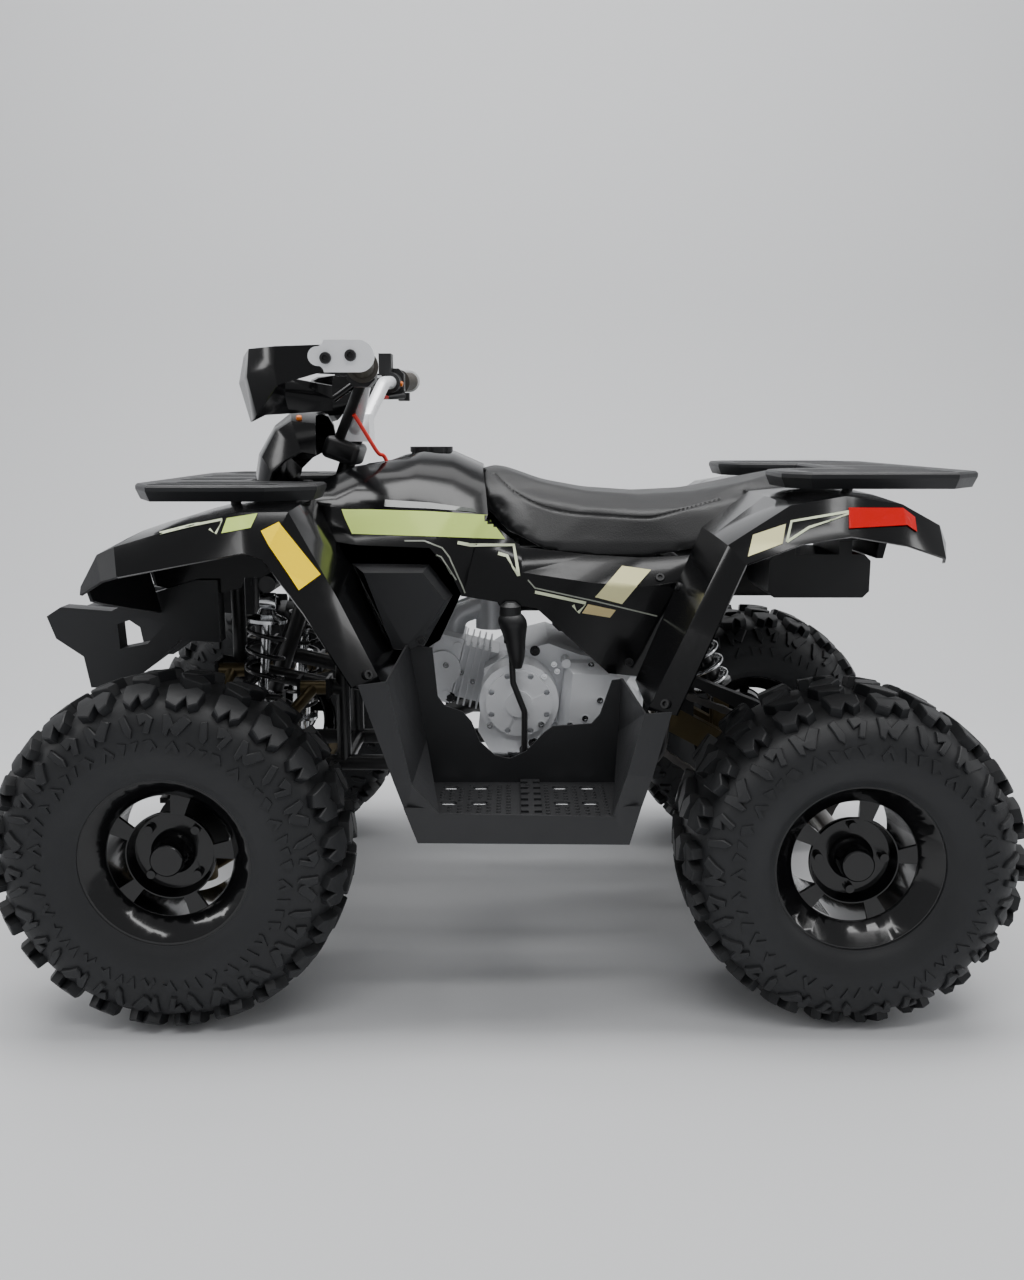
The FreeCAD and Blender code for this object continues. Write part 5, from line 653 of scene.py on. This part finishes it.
shockSet = {
    "kinds": {
        "front": {"foot": (-0.384, 0.172, 0.236), "head": (-0.360, 0.168, 0.546), "spring": 0.0265,
                  "wire": 0.0036, "damper": 0.0165, "turns": 7.5, "springLook": "springBlack",
                  "damperLook": "brightSteel"},
        "rear": {"foot": (0.348, 0.0, 0.352), "head": (0.270, 0.0, 0.548), "spring": 0.0275, "wire": 0.0042,
                 "damper": 0.016, "turns": 6.0, "springLook": "brightSteel", "damperLook": "springBlack"},
    },
    "eye": {"radius": 0.013, "width": 0.024, "edge": 0.0012},
    "springSpan": (0.17, 0.90),  # where the spring stands, as shares of the length
    "outline": [  # the radius as a share of the damper's, or the spring's rim; share of the length, and more
        (0, 0, 0.012), (0.8, 0, 0.012), (0.9, 0, 0.016), (1, 0.10, 0), (1, 0.17, -0.006),
        ("rim", 0.17, -0.006), ("rim", 0.17, -0.001), (1.05, 0.17, 0), (1.05, 0.55, 0), (0.9, 0.56, 0),
        (0.42, 0.565, 0), (0.42, 0.90, 0), ("rim", 0.90, 0), ("rim", 0.90, 0.005), (0.9, 0.90, 0.012),
        (0.7, 1, -0.011), (0, 1, -0.011)],
}


def shockBody(spec, reach):
    bm = bmesh.new()
    rim, eye = spec["spring"] + spec["wire"], shockSet["eye"]
    spunRing(bm, [(rim if share == "rim" else spec["damper"] * share, reach * along + more)
                  for share, along, more in shockSet["outline"]], steps=24)
    for level in (0, reach):
        place = Matrix.Translation((0, 0, level)) @ Matrix.Rotation(pi / 2, 4, "X")
        ring = bmesh.ops.create_cone(bm, cap_ends=True, segments=20, radius1=eye["radius"],
                                     radius2=eye["radius"], depth=eye["width"], matrix=place)["verts"]
        edges = {e for v in ring for e in v.link_edges if len({round(end.co.y, 4) for end in e.verts}) == 1}
        bmesh.ops.bevel(bm, geom=list(edges), offset=eye["edge"], affect="EDGES", segments=2, profile=0.5,
                        material=-1)
    bmesh.ops.recalc_face_normals(bm, faces=bm.faces[:])
    return bm


def buildShocks():
    for (label, spec), node in zip(shockSet["kinds"].items(), ("front_shocks", "rear_shock")):
        run = Vector(spec["head"]) - Vector(spec["foot"])
        low, high = (run.length * share for share in shockSet["springSpan"])
        coil = bmesh.new()
        helix(coil, spec["spring"], spec["wire"], low + spec["wire"], high - spec["wire"], spec["turns"])
        for name, bm, look, smooth in (("Damper", shockBody(spec, run.length), spec["damperLook"], 40),
                                       ("Spring", coil, spec["springLook"], 60)):
            stood(bm, spec["foot"], run)
            if label == "front":
                mirroredOver(bm)
            piece(label + name, bm, bodyOf[node], look, smooth, (node,))


buildShocks()
print("stage: shocks")


# Body panels, racks, wheels and controls: the solids with moulded edges

edgeSet = {
    0.0012: ["front_body", "cowl", "tank_cover", "side_panels", "rear_body", "handguards", "knee_covers"],
    0.0015: ["fender_tips", "front_rack", "rear_rack", "bumper", "footwell_left", "footwell_right"],
    0.0008: ["engine_case", "engine_cylinder", "controls", "fuel_cap", "rim_front_left", "rim_front_right",
             "rear_rims"],
}
capSet = {"forward": 0.030, "down": 0.0035}  # the fuel cap sits on the crest of the tank
guardSet = {  # how far the guard's nose, its lower tip and its foot draw in, and how much of its back stays
    "back": 0.024, "low": 0.020, "lift": 0.007, "stays": 0.06}


def drawnBack(bm):
    # The guard's nose is pulled back, most at its lower tip, and its fixings stay where they are
    xs, zs = [v.co.x for v in bm.verts], [v.co.z for v in bm.verts]
    start, end, foot, top = min(xs), max(xs) - guardSet["stays"], min(zs), max(zs)
    for v in bm.verts:
        near = min(1, max(0, (end - v.co.x) / (end - start)))
        down = (top - v.co.z) / (top - foot)
        v.co.x += near * (guardSet["back"] + guardSet["low"] * down)
        v.co.z += near * guardSet["lift"] * down ** 2


def onCrest(bm):
    bmesh.ops.translate(bm, verts=bm.verts[:], vec=(-capSet["forward"], 0, -capSet["down"]))


reshaped = {"handguards": drawnBack, "fuel_cap": onCrest}
for width, members in edgeSet.items():
    for node in members:
        softened(node, width, shaped=reshaped.get(node))
print("stage: moulded edges")


# Seat: the solid is remeshed, swollen by cloth pressure, then its side seam is drawn in and stitched

seatSet = {
    "voxel": 0.006,
    "rounding": 5,  # smoothing passes, which also leave room for the swelling
    "pressure": 4.0,
    "lastFrame": 20,
    "most": 0.006,  # the furthest that a point moves
    "heldUpTo": 0.025,  # the foot that the cloth is held by
    "swellFrom": 0.020,  # above this height it swells, fully so after the next distance
    "swellOver": 0.05,
    "seam": [(489, 466), (494, 473), (506, 484), (522, 497), (538, 505), (556, 510.5), (579, 514), (608, 516),
             (644, 518), (660, 516), (681, 510), (701, 504), (720, 499)],
    "seamWidth": 0.0045,
    "seamDepth": 0.0026,
    "seamPast": 0.02,  # how far past its ends the skin is looked through
    "stitchPitch": 0.0075,
    "stitchAbove": 0.0042,
    "stitchSize": (0.0027, 0.0006, 0.0006),
}


def evaluatedMesh(thing):
    return bpy.data.meshes.new_from_object(thing.evaluated_get(bpy.context.evaluated_depsgraph_get()))


def throughModifier(mesh, kind, **settings):
    # The mesh as a modifier leaves it
    spare = linked("spare", mesh)
    change = spare.modifiers.new("change", kind)
    for key, value in settings.items():
        setattr(change, key, value)
    made = evaluatedMesh(spare)
    bpy.data.objects.remove(spare)
    return made


def swollen(mesh):
    # Cloth under pressure, held at its foot, each point kept within its cap
    spare = linked("spareCushion", mesh)
    low = min(v.co.z for v in mesh.vertices)
    held = spare.vertex_groups.new(name="held")
    held.add([v.index for v in mesh.vertices if v.co.z < low + seatSet["heldUpTo"]], 1.0, "REPLACE")
    cloth = spare.modifiers.new("swell", "CLOTH")
    cloth.settings.vertex_group_mass = "held"
    cloth.settings.use_pressure = True
    cloth.settings.uniform_pressure_force = seatSet["pressure"]
    cloth.settings.effector_weights.gravity = 0
    cloth.point_cache.frame_start, cloth.point_cache.frame_end = 1, seatSet["lastFrame"]
    rest = [v.co.copy() for v in mesh.vertices]
    for number in range(1, seatSet["lastFrame"] + 1):
        bpy.context.scene.frame_set(number)
    made = evaluatedMesh(spare)
    bpy.data.objects.remove(spare)
    bpy.context.scene.frame_set(1)
    for vertex, start in zip(made.vertices, rest):
        shift = vertex.co - start
        share = (start.z - low - seatSet["swellFrom"]) / seatSet["swellOver"]
        cap = seatSet["most"] * min(1, max(0, share))
        vertex.co = start + shift * min(1, cap / max(shift.length, 0.000001))
    return made


def alongLine(points, step):
    # Places and directions at even steps along a line of points
    spots, left = [], step / 2
    for a, b in zip(points, points[1:]):
        run = (b - a).length
        while left < run:
            spots.append((a + (b - a) * (left / run), (b - a).normalized()))
            left += step
        left -= run
    return spots


def drawnIn(bm, seam):
    # Pulls the skin in along the seam, most on the line itself
    reach = seatSet["seamWidth"]
    for v in bm.verts:
        if not seam[0].x - seatSet["seamPast"] <= v.co.x <= seam[-1].x + seatSet["seamPast"]:
            continue
        near = v.co.copy()
        near.y = -abs(near.y)
        gap = min((near - a.lerp(b, min(1, max(0, intersect_point_line(near, a, b)[1])))).length
                  for a, b in zip(seam, seam[1:]))
        if gap < reach:
            v.co -= v.normal * seatSet["seamDepth"] * (1 - gap / reach) ** 2


def stitchRow(tree, seam):
    bm = bmesh.new()
    for place, run in alongLine(seam, seatSet["stitchPitch"]):
        spot, facing, _, _ = tree.find_nearest(place + Vector((0, 0, seatSet["stitchAbove"])))
        across = facing.cross(run).normalized()
        turn = Matrix((run, across, facing)).transposed().to_4x4()
        shape = Matrix.Diagonal((*seatSet["stitchSize"], 1))
        bmesh.ops.create_uvsphere(bm, u_segments=6, v_segments=4, radius=1,
                                  matrix=Matrix.Translation(spot) @ turn @ shape)
    return bm


def buildSeat():
    bm = solidOf("seat")
    mesh = bpy.data.meshes.new("seatStart")
    bm.to_mesh(mesh)
    bm.free()
    mesh = throughModifier(mesh, "REMESH", mode="VOXEL", voxel_size=seatSet["voxel"])
    bm = bmesh.new()
    bm.from_mesh(mesh)
    for _ in range(seatSet["rounding"]):
        bmesh.ops.smooth_vert(bm, verts=bm.verts[:], factor=0.5, use_axis_x=True, use_axis_y=True,
                              use_axis_z=True)
    bm.to_mesh(mesh)
    bm.free()
    mesh = swollen(mesh)
    mesh = throughModifier(mesh, "SUBSURF", levels=1, render_levels=1)
    bm = bmesh.new()
    bm.from_mesh(mesh)
    bm.normal_update()
    tree = BVHTree.FromBMesh(bm)
    seam = [tree.ray_cast(camera.location, sightLine(px, py))[0] for px, py in seatSet["seam"]]
    seam = [Vector(p) for p in smoothLine([tuple(p) for p in seam if p], 3)]
    drawnIn(bm, seam)
    cushion = piece("seatCushion", bm, bodyOf["seat"], "seatVinyl", smooth=180,
                    replaced=("seat",))
    stitches = stitchRow(tree, seam)
    mirroredOver(stitches)
    piece("seatStitches", stitches, bodyOf["seat"], "threadGrey", smooth=60)


buildSeat()
print("stage: seat")


# Film decals, and painted highlight strokes along the hip crease and knee edges: each outline is drawn in the
# photograph and laid on the panels, on both sides

decalSet = {
    "lift": 0.0010,
    "cell": 3,
    "widest": 0.026,  # a longer edge spans a gap between panels, and is cut out
    "sharpTurn": -0.2,
    "panels": ["front_body", "cowl", "tank_cover", "side_panels", "rear_body"],
    "patches": [  # name, look, outline
        ("limeStripe", "limeDecal", [(341.5, 509.5), (368, 509.5), (430, 511.5), (487, 515), (505, 539),
                                     (352, 534), (345, 519)]),
        ("darkBand", "darkDecal", [(385, 500), (430, 503), (474, 509), (476, 512.5), (430, 509), (384, 507)]),
        ("hipUpper", "creamDecal", [(622, 566), (651, 570), (637, 586), (622, 604), (595, 597), (610, 580)]),
        ("hipLower", "tanDecal", [(588, 604), (616, 610), (610, 617.5), (582, 613)]),
        ("tailPatch", "creamDecal", [(753, 535), (786, 524), (782.6, 544), (748, 557)]),
        ("nosePatch", "limeDecal", [(221.5, 533.6), (227, 518.4), (257.7, 513.4), (250.8, 528)]),
    ],
    "strokes": [  # name, look, width, line
        ("bandTail", "paleDecal", 3.2, [(457.5, 542.7), (470, 545), (513.6, 545), (518.7, 576), (507, 556),
                                        (498, 553.5)]),
        ("hipArrow", "paleDecal", 3.0, [(535, 592), (586, 603), (578, 612.6), (573, 605)]),
        # painted highlights: light strokes along the hip crease and the knee cover edges
        ("hipCreaseHighlight", "paintedEdgeHighlight", 1.4, [(528, 580), (535, 588), (595, 601), (657, 616)]),
        ("tailArrow", "paleDecal", 2.6, [(787, 542), (791.6, 521.5), (859, 510), (809, 527.5), (787, 542)]),
        ("noseArrow", "paleDecal", 2.4, [(160, 533.6), (190, 526), (222.6, 519.5), (215.7, 534),
                                         (209.6, 529)]),
        ("kneeHighlightOuter", "paintedEdgeHighlight", 1.5, [(404.6, 541), (424, 541), (442, 548), (449, 557), (465, 593)]),
        ("kneeHighlightInner", "paintedEdgeHighlight", 1.4, [(361, 551), (426, 551), (441, 557), (456, 580)]),
    ],
}


def laidOn(outline, names):
    # A thin film: the outline is cut into small cells, and each corner is dropped on the panel
    bm = bmesh.new()
    face = bm.faces.new([bm.verts.new((px, py, 0)) for px, py in outline])
    bmesh.ops.triangulate(bm, faces=[face])
    for axis in (0, 1):
        low, high = min(p[axis] for p in outline), max(p[axis] for p in outline)
        count = int((high - low) / decalSet["cell"])
        for k in range(1, count + 1):
            across = Vector((1 - axis, axis, 0))
            bmesh.ops.bisect_plane(bm, geom=bm.verts[:] + bm.edges[:] + bm.faces[:], plane_no=across,
                                   plane_co=across * (low + (high - low) * k / (count + 1)))
    lost = []
    for v in bm.verts:
        place, facing = onto(v.co.x, v.co.y, names)
        if place is None:
            lost.append(v)
        else:
            v.co = place + facing * decalSet["lift"]
    bmesh.ops.delete(bm, geom=lost, context="VERTS")
    torn = [e for e in bm.edges if e.calc_length() > decalSet["widest"]]
    bmesh.ops.delete(bm, geom=torn, context="EDGES")
    bm.normal_update()
    turned = [f for f in bm.faces if f.normal.dot(camera.location - f.calc_center_median()) < 0]
    bmesh.ops.reverse_faces(bm, faces=turned)
    return bm


def strokeOutline(line, width):
    # The two sides of a brush stroke along a line
    points = [Vector(p) for p in line]
    sides = [[], []]
    for k, point in enumerate(points):
        before = (point - points[k - 1]).normalized() if k else (points[1] - point).normalized()
        after = (points[k + 1] - point).normalized() if k + 1 < len(points) else before
        if before.dot(after) < decalSet["sharpTurn"]:
            after = before
        run = (before + after).normalized()
        across = Vector((-run.y, run.x)) * (width / 2)
        sides[0].append(tuple(point + across))
        sides[1].append(tuple(point - across))
    return [sides[0][k:k + 2] + sides[1][k:k + 2][::-1] for k in range(len(points) - 1)]


def buildDecals():
    names = decalSet["panels"]
    films = [(name, look, [outline]) for name, look, outline in decalSet["patches"]]
    films += [(name, look, strokeOutline(line, width)) for name, look, width, line in decalSet["strokes"]]
    for name, look, outlines in films:
        bm = addInto(bmesh.new(), *[laidOn(outline, names) for outline in outlines])
        mirroredOver(bm)
        piece(name, bm, "chassis", look, smooth=40)


buildDecals()
print("stage: decals")


# Fasteners: one shape a kind, stood on whatever carries it where the photograph shows it

fastenerSet = [  # name, kind, radius, look, carriers, both sides, places
    ("engineScrews", "socket", 0.0052, "brightSteel", ["engine_case", "engine_cylinder"], False,
     [(461, 672), (473, 681), (446, 665), (554, 664), (557, 671), (591, 666), (544, 676), (490, 725),
      (541, 724), (570, 725), (600, 700), (585, 718)]),
    ("engineDarkScrews", "hex", 0.0060, "frameSatin", ["engine_case", "engine_cylinder"], False,
     [(450, 697), (535, 651), (533.5, 743)]),
    ("panelScrews", "socket", 0.0068, "controlBlack",
     ["front_body", "side_panels", "rear_body", "knee_covers", "footwell_left", "tank_cover", "cowl"], True,
     [(421, 641), (629, 662), (666, 704), (367, 675), (660, 578), (679, 587)]),
    ("stayScrews", "socket", 0.0078, "controlBlack", ["handlebar", "controls", "handguards"], True,
     [(325.3, 358), (350.3, 355.3)]),
]
headSet = {  # shares of the radius: each step's width and top, with its sides, then the face's rim and dip
    "hex": {"steps": [(1.4, 0.25, 18), (1.0, 1.0, 6)], "rim": 0.22, "dip": 0.12},
    "socket": {"steps": [(1.0, 0.6, 18)], "rim": 0.38, "dip": 0.42},
}
headFit = {"sunk": 0.001, "narrowed": 0.9, "chamfer": 0.06}  # metres into the carrier, then shares


def fastener(kind, radius):
    # One fastener standing on Z = 0: a flanged hexagon, or a round head with a socket
    bm = bmesh.new()
    head, low = headSet[kind], -headFit["sunk"]
    for share, topShare, sides in head["steps"]:
        wide, high = radius * share, radius * topShare
        bmesh.ops.create_cone(bm, cap_ends=True, segments=sides, radius1=wide,
                              radius2=wide * headFit["narrowed"], depth=high - low,
                              matrix=Matrix.Translation((0, 0, (low + high) / 2)))
        low = high
    top = max(bm.faces, key=lambda f: f.calc_center_median().z)
    bmesh.ops.inset_region(bm, faces=[top], thickness=radius * head["rim"])
    bmesh.ops.inset_region(bm, faces=[top], thickness=radius * headFit["chamfer"],
                           depth=-radius * head["dip"])
    return bm


def buildFasteners():
    for name, kind, radius, look, names, both, places in fastenerSet:
        bm = bmesh.new()
        for px, py in places:
            place, facing = onto(px, py, names)
            if place is None:
                print("no hold for", name, px, py)
                continue
            one = fastener(kind, radius)
            stood(one, place, facing)
            addInto(bm, one)
        if both:
            mirroredOver(bm)
        piece(name, bm, bodyOf[names[0]], look, smooth=30)


buildFasteners()
print("stage: fasteners")


# Gear lever's knob, the tread of the footwells, and the splash liner behind the knees

knobSet = {
    "neck": (517, 668),
    "leverY": -0.206,
    "outline": [(0, 0), (0.0066, 0), (0.0082, 0.004), (0.0112, 0.014), (0.0134, 0.027), (0.0152, 0.041),
                (0.0182, 0.054), (0.0206, 0.064), (0.0204, 0.072), (0.0165, 0.079), (0.0090, 0.083),
                (0, 0.084)],
    "lean": 0.009,
    "bow": 1.6,  # 1 leans the knob straight, more bends it towards its top
}
treadSet = {
    "from": (-0.150, -0.412),
    "to": (0.138, -0.240),
    "pitch": (0.0135, 0.0125),
    "radius": 0.0042,
    "narrowed": 0.7,
    "height": 0.0022,
    "raised": 0.4,  # share of the height from the floor to a stud's middle
    "above": 0.32,  # height that the floor is felt for from
    "clear": 0.007,  # a stud stands only where the floor is even to this distance
    "uneven": 0.0008,
}
linerSet = {"y": -0.130, "wall": 0.003,
            "outline": [(337, 540), (456, 538), (468, 570), (463, 590), (440, 640), (405, 662), (382, 655),
                        (350, 600)]}


def buildKnob():
    bm = bmesh.new()
    spunRing(bm, smoothLine(knobSet["outline"], 3), steps=28)
    tall = knobSet["outline"][-1][1]
    for v in bm.verts:
        v.co.x -= knobSet["lean"] * max(0, v.co.z / tall) ** knobSet["bow"]
    bmesh.ops.translate(bm, verts=bm.verts[:], vec=atDepth(*knobSet["neck"], knobSet["leverY"]))
    bmesh.ops.recalc_face_normals(bm, faces=bm.faces[:])
    piece("shiftKnob", bm, bodyOf["shift_lever"], "controlBlack", smooth=50)


def buildTread():
    bm = bmesh.new()
    tree = skinTree(["footwell_left"])
    (x, yStart), (xEnd, yEnd) = treadSet["from"], treadSet["to"]
    (along, across), radius, height = treadSet["pitch"], treadSet["radius"], treadSet["height"]
    row = 0
    while x < xEnd:
        y = yStart + (row % 2) * across / 2
        while y < yEnd:
            spots = [tree.ray_cast(Vector((x + dx * treadSet["clear"], y + dy * treadSet["clear"],
                                           treadSet["above"])), Vector((0, 0, -1)))[0]
                     for dx, dy in ((0, 0), (1, 0), (-1, 0), (0, 1), (0, -1))]
            if all(spots) and max(p.z for p in spots) - min(p.z for p in spots) < treadSet["uneven"]:
                place = Matrix.Translation(spots[0] + Vector((0, 0, height * treadSet["raised"])))
                bmesh.ops.create_cone(bm, cap_ends=True, segments=6, radius1=radius,
                                      radius2=radius * treadSet["narrowed"], depth=height, matrix=place)
            y += across
        x += along
        row += 1
    mirroredOver(bm)
    piece("footTread", bm, "chassis", "charcoal", smooth=30)


def buildLiner():
    bm = bmesh.new()
    face = bm.faces.new([bm.verts.new(atDepth(px, py, linerSet["y"])) for px, py in linerSet["outline"]])
    bmesh.ops.solidify(bm, geom=[face], thickness=linerSet["wall"])
    mirroredOver(bm)
    bmesh.ops.recalc_face_normals(bm, faces=bm.faces[:])
    piece("kneeLiner", bm, "chassis", "charcoal", smooth=30)


buildKnob()
buildTread()
buildLiner()
print("stage: knob, tread and liner")


# Hoses: the brake hoses run along the upper arms towards the front knuckles

hoseSet = {
    "radius": 0.0032,
    "roundSteps": 4,
    "alongSteps": 8,
    "line": [(-0.452, -0.300, 0.356), (-0.448, -0.282, 0.392), (-0.420, -0.248, 0.408),
             (-0.400, -0.205, 0.412), (-0.380, -0.165, 0.432), (-0.352, -0.120, 0.470),
             (-0.345, -0.092, 0.505)],
    "bendFrom": (-0.420, -0.235, 0.408),
    "bendTo": (-0.450, -0.290, 0.380),
}


def hosePiece(name, route, radius, look):
    # A round hose on a smooth spline through its route; it rides on no body
    line = bpy.data.curves.new(name + "Line", "CURVE")
    line.dimensions = "3D"
    line.bevel_depth = radius
    line.bevel_resolution = hoseSet["roundSteps"]
    line.resolution_u = hoseSet["alongSteps"]
    line.use_fill_caps = True
    spline = line.splines.new("NURBS")
    spline.points.add(len(route) - 1)
    for point, place in zip(spline.points, route):
        point.co = (*place, 1)
    spline.order_u = 3
    spline.use_endpoint_u = True
    curve = linked(name + "Line", line)
    bm = bmesh.new()
    bm.from_mesh(evaluatedMesh(curve))
    bpy.data.objects.remove(curve)
    bmesh.ops.remove_doubles(bm, verts=bm.verts[:], dist=0.00001)
    return piece(name, bm, None, look, smooth=60)


def onSide(points, side):
    return [(x, side * y, z) for x, y, z in points]


def buildHoses():
    for side, hand in ((1, "left"), (-1, "right")):
        route = onSide(hoseSet["line"], side)
        hose = hosePiece("brakeHose" + hand.title(), route, hoseSet["radius"], "hoseBlack")
        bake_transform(hose)


buildHoses()
print("stage: hoses")


# The red stop tether from the bar clamp to the tank, the far brake lever, switches and clips

tetherSet = {
    "radius": 0.0030,
    "from": (353, 413),
    "to": (387, 462),
    "toY": -0.068,
    "above": 0.1,  # height over the tank that its end is dropped from
    "line": [(357, 419), (363, 429), (371, 442), (379, 455)],
    "stands": (0.012, 0.001),  # how far its last two points stand off the tank
}
leverSet = [  # name, look, start, end, each with its depth, then the two radii
    ("leverRed", "redPlastic", (371, 397, 0.135), (388, 397.5, 0.165), 0.0042, 0.0036),
    ("leverEnd", "controlBlack", (387, 397.5, 0.163), (404, 396, 0.195), 0.0036, 0.0056),
]
leverEdge = 0.0015
buttonSet = [  # name, look, place in the photograph, carriers, radius, height
    ("stopButton", "redPlastic", (404, 370), ["controls"], 0.0058, 0.004),
    ("lampButton", "orangePlastic", (401, 384), ["controls"], 0.0050, 0.004),
    ("cowlClip", "orangePlastic", (299, 419), ["cowl"], 0.0048, 0.006),
]
buttonShares = {"narrowed": 0.85, "sunk": 0.15, "edge": 0.18}  # of the radius, then of the height


def buildSwitches():
    for name, look, (px, py), names, radius, height in buttonSet:
        place, facing = onto(px, py, names)
        if place is None:
            print("no hold for", name)
            continue
        bm = roundedPeg(radius, radius * buttonShares["narrowed"], height, sides=20,
                        edge=height * buttonShares["edge"])
        stood(bm, place - facing * height * buttonShares["sunk"], facing)
        piece(name, bm, bodyOf[names[0]], look, smooth=40)


def buildTether():
    # Held at the clamp, which steers, and at the tank, which doesn't
    start, facing = onto(*tetherSet["from"], ["handlebar", "controls", "steering_column"])
    above = atDepth(*tetherSet["to"], tetherSet["toY"]) + Vector((0, 0, tetherSet["above"]))
    end, rise, _, _ = skinTree(["tank_cover", "cowl"]).ray_cast(above, Vector((0, 0, -1)))
    if start is None or end is None:
        print("no hold for the tether", start, end)
        return
    out = start + facing * tetherSet["radius"]
    parts = len(tetherSet["line"]) + 2
    middle = [atDepth(px, py, out.y + (end.y - out.y) * (k + 1) / parts)
              for k, (px, py) in enumerate(tetherSet["line"])]
    route = [out, *middle, *[end + rise * off for off in tetherSet["stands"]]]
    strap = hosePiece("stopTether", route, tetherSet["radius"], "cordRed")
    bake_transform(strap)


def buildLever():
    for name, look, start, end, wide, narrow in leverSet:
        foot, head = atDepth(*start), atDepth(*end)
        bm = roundedPeg(wide, narrow, (head - foot).length, sides=16, edge=leverEdge)
        stood(bm, foot, head - foot)
        piece(name, bm, bodyOf["controls"], look, smooth=40)


buildSwitches()
buildTether()
buildLever()
print("stage: switches, tether and lever")
